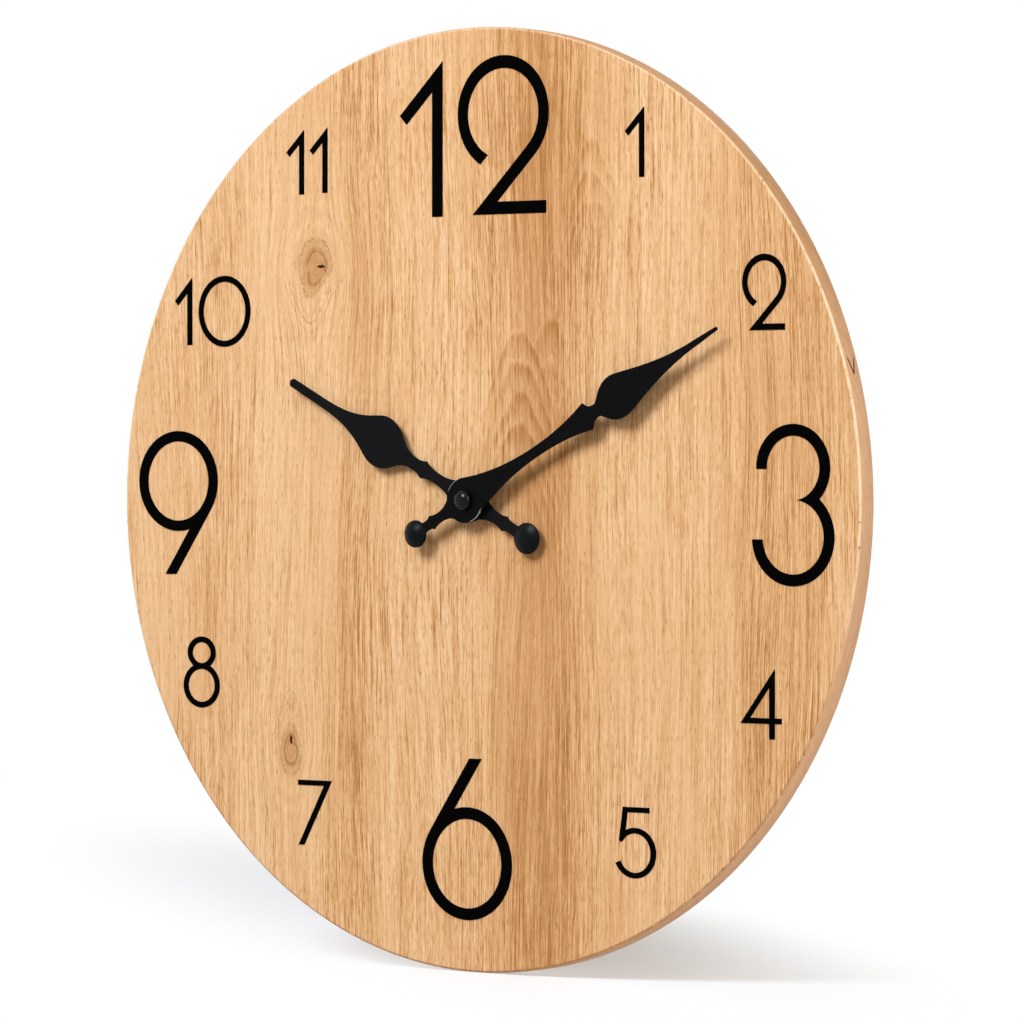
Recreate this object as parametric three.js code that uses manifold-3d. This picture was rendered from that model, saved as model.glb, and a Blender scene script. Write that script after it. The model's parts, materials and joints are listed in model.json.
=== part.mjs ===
// A round wooden wall clock: a wooden panel with black numerals, two spade hands and a quartz
// movement clamped through the middle of the panel. The movement carries the clock on one hook.
// Millimetres. X runs right and Z up as the clock is seen, and Y runs back towards the wall.
// The origin is the point where the hook bears in the hanger, on the plane of the wall.
import * as THREE from "three";
import { mergeVertices } from "three/addons/utils/BufferGeometryUtils.js";
import Module from "manifold-3d";

const wasm = await Module();
wasm.setup();

// Wooden panel
const panelDiameter = 300;
const panelThickness = 7;
const panelEdgeRound = 0.8;
const panelBoreClearance = 0.3;

// Numerals, cut from thin black film: the middle of each from the middle of the panel, its width
// and height, and the weight of its strokes beside the drawn figure
const numeralThickness = 0.25;
const numeralPlaces = {
  numeral_12_left: { x: -22.05, z: 115.05, width: 17.7, height: 49.5 },
  numeral_12_right: { x: 11.5, z: 115.6, width: 36.8, height: 50.2, weight: 1.04 },
  numeral_1: { x: 63.9, z: 111.5, width: 7.6, height: 21.8, weight: 1.1 },
  numeral_2: { x: 113.8, z: 64.1, width: 16.6, height: 23.3, weight: 1.11 },
  numeral_3: { x: 124.7, z: -0.9, width: 30.9, height: 49.4, weight: 1.03 },
  numeral_4: { x: 112.7, z: -61.65, width: 15.6, height: 21.5, weight: 1.06 },
  numeral_5: { x: 64.45, z: -106.15, width: 15.9, height: 22.1 },
  numeral_6: { x: -3.2, z: -107.8, width: 36.6, height: 51.4, weight: 1.06 },
  numeral_7: { x: -66.9, z: -101.8, width: 14.4, height: 21.05 },
  numeral_8: { x: -116.1, z: -57.2, width: 15.9, height: 23.4 },
  numeral_9: { x: -126.4, z: -1.35, width: 34.8, height: 47.3, turn: 180, weight: 1.06 },
  numeral_10_left: { x: -124, z: 61.8, width: 7.6, height: 22.2, weight: 1.17 },
  numeral_10_right: { x: -106, z: 61.6, width: 22.7, height: 23.3, weight: 1.03 },
  numeral_11_left: { x: -75.25, z: 109.5, width: 7.6, height: 20.95, weight: 1.14 },
  numeral_11_right: { x: -65.25, z: 109.85, width: 7.6, height: 21.1, weight: 1.16 },
};

// Clearances
const pivotGap = 0.08;
const fitGap = 0.05;
const seatGap = 0.3;
const endShake = 0.15;

// Battery
const batteryDiameter = 14.5;
const batteryLength = 50.5;
const batteryNubDiameter = 5.2;
const batteryNubLength = 1.2;

// Movement case
const caseWall = 1.5;
const caseFrontWall = 1.5;
const caseCornerRadius = 4;
const bayFloor = 0.9;
const bayClearance = 0.3;
const bayContactRoom = 2.5;
const bayRib = 1;
const rearCoverThickness = 1.5;
const rearBossHeight = 1.4;
const rearBossRadius = 1.4;

// Hanger on top of the case
const hangerThickness = 3;
const hangerSide = 3.5;
const hangerTop = 3;
const hangerSill = 1.5;
const slotWidth = 7.6;
const slotHeight = 6;
const slotCornerRadius = 2;

// Clamping stack in the middle of the panel
const threadDiameter = 7.9;
const threadEnd = 0.2;
const bushingFlangeDiameter = 12;
const bushingFlangeThickness = 1;
const rubberWasherDiameter = 20;
const rubberWasherThickness = 1;
const dialWasherDiameter = 12;
const dialWasherThickness = 0.4;
const nutAcrossFlats = 10;
const nutThickness = 1.8;

// Hollow arbors
const hourTubeDiameter = 5;
const minuteArborDiameter = 3.2;
const minuteSpigotDiameter = 2.4;
const minuteSpigotFlats = 1.8;
const clutchSpigotDiameter = 2.2;

// Hands, measured from the hub along the hand
const handThickness = 0.5;
const handGap = 1.8;
const colletDiameter = 6.8;
const colletHeight = 0.8;
const capDiameter = 6.4;
const capHeight = 2.7;
const capSkirt = 0.8;
const minuteHandAngle = 61.9;
const hourHandAngle = 297.1;
const minuteHand = {
  hubRadius: 7.2,
  ball: { at: -23, radius: 4.35, dome: 1.7 },
  tail: { leaves: [-6.2, 3.6], pull: [[-8.5, 1.2], [-13, 1.2]], barb: [-15.3, 2.4], notch: [-16.2, 1.2] },
  neckEnd: 1.7,
  shoulder: { leaves: [2, 6.9], pull: [[10, 3.9], [20, 1.65]], waist: [33, 1.65] },
  rise: { pull: [[43, 1.65], [50, 3]], barb: [56, 4.6] },
  scoop: { pull: [57.3, 2.1], neck: [59.7, 2.1] },
  spade: { pull: [[62, 2.1], [63, 7.05]], widest: [69.5, 7.05] },
  taper: { pull: [[73, 7.05], [86, 1.2]], ends: [104, 0.95] },
  tipRadius: 0.55,
  length: 113,
};
const hourHand = {
  hubRadius: 7,
  ball: { at: -26.2, radius: 4.95, dome: 1.4 },
  tail: { leaves: [-5.9, 3.8], pull: [[-9.5, 1.9], [-13.2, 1.2]], barb: [-16.2, 2.6], notch: [-17.3, 1.35] },
  neckEnd: 1.85,
  shoulder: { leaves: [5.3, 4.6], pull: [[8.5, 2.2], [12, 1.75]], waist: [15, 1.75] },
  rise: { pull: [[17.5, 1.75], [19.5, 2.2]], barb: [21.2, 3] },
  scoop: { pull: [22.6, 2], neck: [25.3, 2] },
  spade: { pull: [[33.5, 2], [33, 8.35]], widest: [41, 8.35] },
  taper: { pull: [[47, 8.35], [49.5, 1.6]], ends: [68, 1.5] },
  tipRadius: 1.4,
  length: 84.1,
};

// Wheels. Every pair in mesh shares its module.
const wheelThickness = 0.8;
const layerGap = 0.5;
const pinionOverhang = 0.15;
const trainPlateThickness = 1;
const pressureAngle = THREE.MathUtils.degToRad(30);
const addendum = 0.8;
const dedendum = 1.1;
const backlash = 0.12;
const motionModule = 0.45;
const cannonTeeth = 10;
const minuteWheelTeeth = 30;
const minutePinionTeeth = 8;
const hourWheelTeeth = 32;
const settingTeeth = 10;
const rotorModule = 0.3;
const secondsModule = 0.32;
const centreModule = 0.25;
const trainPinionTeeth = 8;
const thirdWheelTeeth = 40;
const secondsWheelTeeth = 48;
const intermediateWheelTeeth = 60;
const centreWheelTeeth = 64;

// Where the wheels stand, as bearings from the wheel before them
const minuteWheelBearing = THREE.MathUtils.degToRad(150);
const settingBearing = THREE.MathUtils.degToRad(170);
const thirdBearing = THREE.MathUtils.degToRad(35);
const rotorBearing = THREE.MathUtils.degToRad(-20);
const intermediateBearing = THREE.MathUtils.degToRad(100);

// Arbors and posts
const arborRadius = 0.6;
const pivotRadius = 0.35;
const postRadius = 0.7;
const postBossRadius = 1.6;
const postBossHeight = 1.2;
const clutchFlangeThickness = 0.35;
const clutchSpringThickness = 0.25;
const clutchFlangeRadius = 2.4;
const standRadius = 2;
const stakeRadius = 1;
const stakeHeight = 0.5;

// Setting knob
const knobRadius = 5;
const knobThickness = 2.2;
const knobRecess = 0.4;
const knobGap = 0.4;
const knobShaftRadius = 1.2;
const knobFlutes = 10;
const knobFluteRadius = 0.6;

// Motor
const magnetRadius = 2.5;
const magnetLength = 3;
const magnetBoreRadius = 1.05;
const statorGap = 0.35;
const statorThickness = 0.8;
const statorHeight = 2;
const statorLeft = 4.6;
const statorRight = 3.4;
const coilGap = 0.3;
const statorArm = 3.2;
const coreWidth = 2.6;
const coilTopRoom = 5.7;
const coilFootRoom = 1.9;
const bobbinFlange = { width: 5.6, depth: 5.2, thickness: 0.8 };
const bobbinWall = 0.6;
const windingInset = 0.5;
const coreReach = 4.6;
const coreScrewHeadRadius = 1.8;
const coreScrewHeadHeight = 0.9;
const coreScrewRadius = 0.8;
const coreScrewLength = 1.4;

// Circuit board
const boardWidth = 14;
const boardHeight = 8;
const boardThickness = 0.8;
const boardGap = 1;
const chipRadius = 2.6;
const chipHeight = 1.1;
const crystalRadius = 1;
const crystalLength = 6;

// Battery contacts
const contactThickness = 0.4;
const contactWidth = 9;
const contactBow = 1.1;

// Places that follow from the sizes above
const caseDepth = bayFloor + batteryDiameter + 2 * bayClearance;
const caseSide = batteryLength + bayContactRoom + 2 * caseWall;
const caseHalf = caseSide / 2;
const shaftZ = -(caseHalf + hangerSill + slotHeight);
const insideHalf = caseHalf - caseWall;
const panelBackY = -caseDepth - rubberWasherThickness;
const faceY = panelBackY - panelThickness;
const nutFrontY = faceY - dialWasherThickness - nutThickness;
const threadEndY = nutFrontY - threadEnd;
const hourHandBackY = threadEndY - 0.2;
const hourHandFrontY = hourHandBackY - handThickness;
const hourTubeEndY = hourHandFrontY - colletHeight;
const minuteHandBackY = hourHandFrontY - handGap;
const minuteHandFrontY = minuteHandBackY - handThickness;

const workFrontY = -caseDepth + caseFrontWall;
const coverInsideY = -rearCoverThickness;
const bossFrontY = coverInsideY - rearBossHeight;
const hourWheelY = workFrontY + bushingFlangeThickness + layerGap;
const minuteWheelY = hourWheelY + wheelThickness + layerGap;
const trainPlateY = minuteWheelY + wheelThickness + layerGap;
const trainPlateRearY = trainPlateY + trainPlateThickness;
const clutchY = trainPlateRearY + endShake;
const centreWheelY = clutchY + clutchFlangeThickness + clutchSpringThickness + endShake;
const intermediateWheelY = centreWheelY + wheelThickness + layerGap;
const secondsWheelY = intermediateWheelY + wheelThickness + layerGap;
const thirdWheelY = secondsWheelY + wheelThickness + layerGap;

const batteryZ = -insideHalf + bayClearance + batteryDiameter / 2;
const batteryY = -caseDepth + bayFloor + bayClearance + batteryDiameter / 2;
const ribBottomZ = batteryZ + batteryDiameter / 2 + bayClearance;
const workBottomZ = ribBottomZ + bayRib;

// Places of the wheels around the shaft, which stands at 0, 0
function stepFrom([x, z], bearing, distance) {
  return [x + distance * Math.cos(bearing), z + distance * Math.sin(bearing)];
}
function centreDistance(teethA, teethB, module) {
  return ((teethA + teethB) * module) / 2;
}
const shaftAt = [0, 0];
const motionDistance = centreDistance(cannonTeeth, minuteWheelTeeth, motionModule);
const minuteWheelAt = stepFrom(shaftAt, minuteWheelBearing, motionDistance);
const settingDistance = centreDistance(settingTeeth, minuteWheelTeeth, motionModule);
const settingAt = stepFrom(minuteWheelAt, settingBearing, settingDistance);
const thirdDistance = centreDistance(trainPinionTeeth, secondsWheelTeeth, secondsModule);
const thirdAt = stepFrom(shaftAt, thirdBearing, thirdDistance);
const rotorDistance = centreDistance(trainPinionTeeth, thirdWheelTeeth, rotorModule);
const rotorAt = stepFrom(thirdAt, rotorBearing, rotorDistance);
const intermediateDistance = centreDistance(trainPinionTeeth, centreWheelTeeth, centreModule);
const intermediateAt = stepFrom(shaftAt, intermediateBearing, intermediateDistance);
const intermediateModule = (2 * intermediateDistance) / (trainPinionTeeth + intermediateWheelTeeth);

// Solids and joins
function solid(geometry) {
  const plain = geometry.clone();
  plain.deleteAttribute("normal");
  plain.deleteAttribute("uv");
  const merged = mergeVertices(plain, 1e-5);
  const corners = merged.index.array;
  const kept = [];
  for (let i = 0; i < corners.length; i += 3) {
    const [a, b, c] = corners.slice(i, i + 3);
    if (a !== b && b !== c && c !== a) {
      kept.push(a, b, c);
    }
  }
  const triVerts = new Uint32Array(kept);
  const vertProperties = merged.attributes.position.array;
  return new wasm.Manifold(new wasm.Mesh({ numProp: 3, vertProperties, triVerts }));
}
function join(first, ...others) {
  return others.reduce((whole, other) => whole.add(other), first);
}
function cut(first, ...tools) {
  return tools.reduce((whole, tool) => whole.subtract(tool), first);
}
function piece(name, body, material) {
  const { vertProperties, triVerts } = body.getMesh();
  const geometry = new THREE.BufferGeometry();
  geometry.setAttribute("position", new THREE.BufferAttribute(vertProperties, 3));
  geometry.setIndex(new THREE.BufferAttribute(triVerts, 1));
  geometry.computeVertexNormals();
  const mesh = new THREE.Mesh(geometry, material);
  mesh.name = name;
  return mesh;
}

// A flat piece: its outline lies in X and Z, and it runs from frontY back to rearY.
function plate(shape, frontY, rearY, curveSegments = 12) {
  const depth = rearY - frontY;
  const geometry = new THREE.ExtrudeGeometry(shape, { depth, bevelEnabled: false, curveSegments });
  geometry.rotateX(Math.PI / 2);
  geometry.translate(0, rearY, 0);
  return solid(geometry);
}
// A round piece about a line along Y, from a profile of radius and Y.
function turned(profile, segments = 24, [x, z] = shaftAt) {
  const points = profile.map(([radius, y]) => new THREE.Vector2(radius, y));
  if (points[0].x > 0) {
    points.push(points[0].clone());
  }
  const geometry = new THREE.LatheGeometry(points, segments);
  geometry.translate(x, 0, z);
  return solid(geometry);
}
function rod(radius, frontY, rearY, at = shaftAt, segments = 12) {
  return turned([[0, frontY], [radius, frontY], [radius, rearY], [0, rearY]], segments, at);
}
function ring(inner, outer, frontY, rearY, segments = 24) {
  return turned([[inner, frontY], [outer, frontY], [outer, rearY], [inner, rearY]], segments);
}
function block([x0, x1], [y0, y1], [z0, z1]) {
  const geometry = new THREE.BoxGeometry(x1 - x0, y1 - y0, z1 - z0);
  geometry.translate((x0 + x1) / 2, (y0 + y1) / 2, (z0 + z1) / 2);
  return solid(geometry);
}

// Outlines in X and Z
function polygon(points) {
  return new THREE.Shape(points.map(([x, z]) => new THREE.Vector2(x, z)));
}
function oval(x, z, radiusX, radiusZ = radiusX) {
  const shape = new THREE.Shape();
  shape.absellipse(x, z, radiusX, radiusZ, 0, 2 * Math.PI, false, 0);
  return shape;
}
function roundedBox(x0, x1, z0, z1, radius) {
  const shape = new THREE.Shape();
  shape.absarc(x1 - radius, z1 - radius, radius, 0, Math.PI / 2, false);
  shape.absarc(x0 + radius, z1 - radius, radius, Math.PI / 2, Math.PI, false);
  shape.absarc(x0 + radius, z0 + radius, radius, Math.PI, 1.5 * Math.PI, false);
  shape.absarc(x1 - radius, z0 + radius, radius, 1.5 * Math.PI, 2 * Math.PI, false);
  return shape;
}

// Involute teeth. A wheel's flanks are single chords that meet at the root, and a pinion's have
// a point at the pitch line and a flat root.
function toothForm(teeth, module) {
  const pitchRadius = (teeth * module) / 2;
  const baseRadius = pitchRadius * Math.cos(pressureAngle);
  const involute = (turn) => Math.tan(turn) - turn;
  const halfAngle = (radius) => {
    const turn = Math.acos(baseRadius / Math.max(radius, baseRadius));
    const half = Math.PI / (2 * teeth) - (backlash * module) / (2 * pitchRadius);
    return half + involute(pressureAngle) - involute(turn);
  };
  const rootRadius = pitchRadius - dedendum * module;
  const tipRadius = pitchRadius + addendum * module;
  return { rootRadius, pitchRadius, tipRadius, halfAngle };
}
function toothed(teeth, angle, toothPoints) {
  const points = [];
  for (let tooth = 0; tooth < teeth; tooth += 1) {
    const middle = angle + (2 * Math.PI * tooth) / teeth;
    for (const [radius, turn] of toothPoints) {
      points.push(stepFrom(shaftAt, middle + turn, radius));
    }
  }
  return polygon(points);
}
function wheelOutline(teeth, module, angle) {
  const { rootRadius, tipRadius, halfAngle } = toothForm(teeth, module);
  const tip = halfAngle(tipRadius);
  return toothed(teeth, angle, [
    [rootRadius, -Math.PI / teeth],
    [tipRadius, -tip],
    [tipRadius, tip],
  ]);
}
function pinionOutline(teeth, module, angle) {
  const { rootRadius, pitchRadius, tipRadius, halfAngle } = toothForm(teeth, module);
  const flank = [rootRadius, pitchRadius, tipRadius].map((radius) => [radius, halfAngle(radius)]);
  const rising = flank.map(([radius, turn]) => [radius, -turn]);
  return toothed(teeth, angle, [...rising, ...flank.reverse()]);
}
function wheelTeeth(teeth, module, angle, frontY) {
  return plate(wheelOutline(teeth, module, angle), frontY, frontY + wheelThickness);
}
function pinionTeeth(teeth, module, angle, frontY, rearY) {
  return plate(pinionOutline(teeth, module, angle), frontY, rearY);
}
// The tooth angle of the next wheel, so that a gap of it faces a tooth of the wheel before it.
function meshed(teethA, angleA, teethB, bearing) {
  return bearing + Math.PI + Math.PI / teethB - ((angleA - bearing) * teethA) / teethB;
}
const cannonAngle = 0;
const minuteWheelAngle = meshed(cannonTeeth, cannonAngle, minuteWheelTeeth, minuteWheelBearing);
const hourWheelAngle = meshed(minutePinionTeeth, 0, hourWheelTeeth, minuteWheelBearing + Math.PI);
const settingAngle = meshed(minuteWheelTeeth, minuteWheelAngle, settingTeeth, settingBearing);
const rotorAngle = 0;
const thirdWheelAngle = meshed(trainPinionTeeth, rotorAngle, thirdWheelTeeth, rotorBearing + Math.PI);
const secondsWheelAngle = meshed(trainPinionTeeth, 0, secondsWheelTeeth, thirdBearing + Math.PI);
const intermediateWheelAngle = meshed(
  trainPinionTeeth,
  0,
  intermediateWheelTeeth,
  intermediateBearing,
);
const centreWheelAngle = meshed(
  trainPinionTeeth,
  0,
  centreWheelTeeth,
  intermediateBearing + Math.PI,
);

// Materials
function finish(color, roughness, metalness = 0) {
  return new THREE.MeshStandardMaterial({ color, roughness, metalness });
}
const oak = finish(0xe1ae7c, 0.55);
const blackFilm = finish(0x0c0c0d, 0.6);
const blackPaint = finish(0x131315, 0.45);
const blackGloss = finish(0x0b0b0c, 0.15);
const blackPlastic = finish(0x1c1c1e, 0.5);
const brass = finish(0xc9a34e, 0.3, 1);
const steel = finish(0xb4b6ba, 0.35, 1);
const magnetBlack = finish(0x3a3a3d, 0.5, 0.4);
const whiteNylon = finish(0xe8e6dd, 0.45);
const rubber = finish(0x1a1a1a, 0.85);
const copper = finish(0xb5652f, 0.35, 0.8);
const boardGreen = finish(0x2f6b41, 0.5);
const cellJacket = finish(0x2e3338, 0.35, 0.3);

// Wooden panel with a bore for the threaded bushing
function woodenPanel() {
  const bore = threadDiameter / 2 + panelBoreClearance;
  const radius = panelDiameter / 2;
  const round = panelEdgeRound;
  const profile = [
    [bore, faceY],
    [radius - round, faceY],
    [radius, faceY + round],
    [radius, panelBackY - round],
    [radius - round, panelBackY],
    [bore, panelBackY],
  ];
  return piece("wooden_panel", turned(profile, 80), oak);
}

// Numerals. Each function draws one figure in the proportions of its own size on the dial.
const inkRearY = faceY;
const inkFrontY = faceY - numeralThickness;
const roundSteps = 13;
function ink(shape) {
  return plate(shape, inkFrontY, inkRearY, roundSteps);
}
function blank(shape) {
  return plate(shape, inkFrontY - 1, inkRearY + 1, roundSteps);
}
function figureOne(weight) {
  const width = 17.7;
  const height = 49.5;
  const stem = 4.3 * weight;
  const flag = 4 * weight;
  const slope = THREE.MathUtils.degToRad(43.6);
  const flagTip = [0, height - width * Math.tan(slope)];
  const flagHeel = [flag * Math.sin(slope), flagTip[1] - flag * Math.cos(slope)];
  const crotch = flagHeel[1] + (width - stem - flagHeel[0]) * Math.tan(slope);
  return ink(
    polygon([
      [width - stem, 0],
      [width, 0],
      [width, height],
      flagTip,
      flagHeel,
      [width - stem, crotch],
    ]),
  );
}
function figureTwo(weight) {
  const height = 50.2;
  const radius = 18.4;
  const stroke = 3.9 * weight;
  const bar = 3.8 * weight;
  const barEnd = 35.8;
  const slope = THREE.MathUtils.degToRad(44);
  const outerStart = THREE.MathUtils.degToRad(239.5);
  const innerStart = THREE.MathUtils.degToRad(244.5);
  const leaves = slope - Math.PI / 2;
  const centre = [radius, height - radius];
  const inner = radius - stroke;
  const bowl = new THREE.Shape();
  bowl.absarc(centre[0], centre[1], radius, leaves, outerStart, false);
  bowl.absarc(centre[0], centre[1], inner, innerStart, leaves, true);
  const outerLeft = stepFrom(centre, leaves, radius);
  const innerLeft = stepFrom(centre, leaves, inner);
  const lapped = stepFrom(centre, leaves + 0.2, radius - stroke / 2);
  const heel = outerLeft[0] - (outerLeft[1] - bar) / Math.tan(slope);
  const tip = innerLeft[0] - innerLeft[1] / Math.tan(slope);
  const foot = polygon([
    [tip, 0],
    [barEnd, 0],
    [barEnd, bar],
    [heel, bar],
    outerLeft,
    lapped,
    innerLeft,
  ]);
  return join(ink(bowl), ink(foot));
}
function figureThree(weight) {
  const height = 49.4;
  const upper = { radiusX: 13.85, radiusZ: 13.4 };
  const lower = { radiusX: 15.45, radiusZ: 14.95 };
  const side = 3.8 * weight;
  const top = 3.45 * weight;
  const middle = lower.radiusX - 0.1;
  const spurX = middle + 0.8;
  const lowerZ = lower.radiusZ;
  const upperZ = height - upper.radiusZ;
  const lowerEnd = lowerZ - 0.8;
  const upperEnd = upperZ - 0.3;
  const discs = join(
    ink(oval(middle, upperZ, upper.radiusX, upper.radiusZ)),
    ink(oval(middle, lowerZ, lower.radiusX, lower.radiusZ)),
  );
  return cut(
    discs,
    blank(oval(middle, upperZ, upper.radiusX - side, upper.radiusZ - top)),
    blank(oval(middle, lowerZ, lower.radiusX - side, lower.radiusZ - top)),
    blank(polygon([[-1, lowerEnd], [spurX, lowerEnd], [spurX, upperEnd], [-1, upperEnd]])),
  );
}
function figureFour(weight) {
  const width = 15.6;
  const height = 21.5;
  const barBottom = 4.7;
  const bar = 1.6 * weight;
  const stemRight = 13;
  const stemLeft = stemRight - 2 * weight;
  const stroke = 1.7 * weight;
  const slope = Math.atan2(height - barBottom, stemRight);
  const barTop = barBottom + bar;
  const insideLeft = bar / Math.tan(slope) + stroke / Math.sin(slope);
  const insideTop = barTop + (stemLeft - insideLeft) * Math.tan(slope);
  const outline = polygon([
    [0, barBottom],
    [stemLeft, barBottom],
    [stemLeft, 0],
    [stemRight, 0],
    [stemRight, barBottom],
    [width, barBottom],
    [width, barTop],
    [stemRight, barTop],
    [stemRight, height],
  ]);
  const inside = polygon([[insideLeft, barTop], [stemLeft, barTop], [stemLeft, insideTop]]);
  return cut(ink(outline), blank(inside));
}
function figureFive(weight) {
  const height = 22.1;
  const bar = 1.6 * weight;
  const barEnd = 13.85;
  const bowl = { x: 8.2, z: 7.85, radiusX: 8.2, radiusZ: 7.85 };
  const side = 2.1 * weight;
  const top = 1.7 * weight;
  const end = THREE.MathUtils.degToRad(-155.5);
  const outerMeets = THREE.MathUtils.degToRad(116);
  const innerMeets = THREE.MathUtils.degToRad(148);
  const stemTop = [3.6, height];
  const corner = [2.1, 11.7];
  const around = (turn, inset) => [
    bowl.x + (bowl.radiusX - inset * side) * Math.cos(turn),
    bowl.z + (bowl.radiusZ - inset * top) * Math.sin(turn),
  ];
  const round = new THREE.Shape();
  round.absellipse(bowl.x, bowl.z, bowl.radiusX, bowl.radiusZ, end, outerMeets, false, 0);
  round.absellipse(bowl.x, bowl.z, bowl.radiusX - side, bowl.radiusZ - top, innerMeets, end, true, 0);
  const stem = polygon([
    corner,
    around(innerMeets, 1),
    around(outerMeets - 0.2, 0.5),
    around(outerMeets, 0),
    [stemTop[0] + 0.85 * side, height - bar],
    [barEnd, height - bar],
    [barEnd, height],
    stemTop,
  ]);
  return join(ink(round), ink(stem));
}
function figureSix(weight) {
  const height = 51.4;
  const radiusX = 18.3;
  const radiusZ = 17.95;
  const side = 4 * weight;
  const top = 3.5 * weight;
  const stroke = 3.86 * weight;
  const slope = THREE.MathUtils.degToRad(55.4);
  const touches = slope + Math.PI / 2;
  const outer = [radiusX + radiusX * Math.cos(touches), radiusZ + radiusZ * Math.sin(touches)];
  const inner = [outer[0] + stroke * Math.sin(slope), outer[1] - stroke * Math.cos(slope)];
  const topLeft = outer[0] + (height - outer[1]) / Math.tan(slope);
  const topRight = topLeft + stroke / Math.sin(slope);
  const stem = ink(polygon([outer, inner, [topRight, height], [topLeft, height]]));
  const bowl = ink(oval(radiusX, radiusZ, radiusX, radiusZ));
  const inside = blank(oval(radiusX, radiusZ, radiusX - side, radiusZ - top));
  return cut(join(bowl, stem), inside);
}
function figureSeven(weight) {
  const width = 14.4;
  const height = 21.05;
  const bar = 1.65 * weight;
  const foot = 0.3;
  const footWidth = 2.4 * weight;
  const run = (width - foot - footWidth) / height;
  const insideX = foot + run * (height - bar);
  return ink(
    polygon([
      [foot, 0],
      [foot + footWidth, 0],
      [width, height],
      [0, height],
      [0, height - bar],
      [insideX, height - bar],
    ]),
  );
}
function figureEight(weight) {
  const height = 23.4;
  const upper = { radiusX: 6.15, radiusZ: 5.3 };
  const lower = { radiusX: 7.95, radiusZ: 7.3 };
  const side = 2.2 * weight;
  const top = 1.85 * weight;
  const upperZ = height - upper.radiusZ;
  const discs = join(
    ink(oval(0, upperZ, upper.radiusX, upper.radiusZ)),
    ink(oval(0, lower.radiusZ, lower.radiusX, lower.radiusZ)),
  );
  return cut(
    discs,
    blank(oval(0, upperZ, upper.radiusX - side, upper.radiusZ - top)),
    blank(oval(0, lower.radiusZ, lower.radiusX - side, lower.radiusZ - top)),
  );
}
function figureZero(weight) {
  const radiusX = 11.35;
  const radiusZ = 11.65;
  const side = 2.1 * weight;
  const top = 1.9 * weight;
  return cut(ink(oval(0, 0, radiusX, radiusZ)), blank(oval(0, 0, radiusX - side, radiusZ - top)));
}

const numeralFigures = {
  numeral_12_left: figureOne,
  numeral_12_right: figureTwo,
  numeral_1: figureOne,
  numeral_2: figureTwo,
  numeral_3: figureThree,
  numeral_4: figureFour,
  numeral_5: figureFive,
  numeral_6: figureSix,
  numeral_7: figureSeven,
  numeral_8: figureEight,
  numeral_9: figureSix,
  numeral_10_left: figureOne,
  numeral_10_right: figureZero,
  numeral_11_left: figureOne,
  numeral_11_right: figureOne,
};
function numeralPiece([name, { x, z, width, height, weight = 1, turn = 0 }]) {
  const mesh = piece(name, numeralFigures[name](weight), blackFilm);
  mesh.geometry.computeBoundingBox();
  const { min, max } = mesh.geometry.boundingBox;
  mesh.geometry.translate(-(min.x + max.x) / 2, 0, -(min.z + max.z) / 2);
  mesh.scale.set(width / (max.x - min.x), 1, height / (max.z - min.z));
  mesh.rotation.y = THREE.MathUtils.degToRad(turn);
  mesh.position.set(x, 0, z);
  return mesh;
}

// Hands. The right side of the outline is drawn and mirrored, pointing at twelve.
const handSteps = 5;
function handOutline(hand) {
  const { ball, tail, shoulder, rise, scoop, spade, taper, tipRadius, length, hubRadius } = hand;
  const side = (sign) => {
    const curve = new THREE.Path();
    const to = ([at, half]) => [sign * half, at];
    const neckAt = ball.at + Math.sqrt(ball.radius ** 2 - hand.neckEnd ** 2);
    const neckTurn = Math.atan2(neckAt - ball.at, hand.neckEnd);
    curve.absarc(0, ball.at, ball.radius, -Math.PI / 2, neckTurn, false);
    curve.quadraticCurveTo(...to(tail.notch), ...to(tail.barb));
    curve.bezierCurveTo(...to(tail.pull[1]), ...to(tail.pull[0]), ...to(tail.leaves));
    const hubFrom = Math.atan2(tail.leaves[0], tail.leaves[1]);
    const hubTo = Math.atan2(shoulder.leaves[0], shoulder.leaves[1]);
    curve.absarc(0, 0, hubRadius, hubFrom, hubTo, false);
    curve.lineTo(...to(shoulder.leaves));
    curve.bezierCurveTo(...to(shoulder.pull[0]), ...to(shoulder.pull[1]), ...to(shoulder.waist));
    curve.bezierCurveTo(...to(rise.pull[0]), ...to(rise.pull[1]), ...to(rise.barb));
    curve.quadraticCurveTo(...to(scoop.pull), ...to(scoop.neck));
    curve.bezierCurveTo(...to(spade.pull[0]), ...to(spade.pull[1]), ...to(spade.widest));
    curve.bezierCurveTo(...to(taper.pull[0]), ...to(taper.pull[1]), ...to(taper.ends));
    const tipAt = length - tipRadius;
    curve.lineTo(sign * tipRadius, tipAt);
    curve.absarc(0, tipAt, tipRadius, 0, Math.PI / 2, false);
    return curve;
  };
  return side(1).getPoints(handSteps);
}
function handBlade(hand, frontY) {
  const right = handOutline(hand);
  const left = right.slice(1, -1).reverse();
  const outline = [...right, ...left.map(({ x, y }) => new THREE.Vector2(-x, y))];
  return plate(new THREE.Shape(outline), frontY, frontY + handThickness);
}
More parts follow.
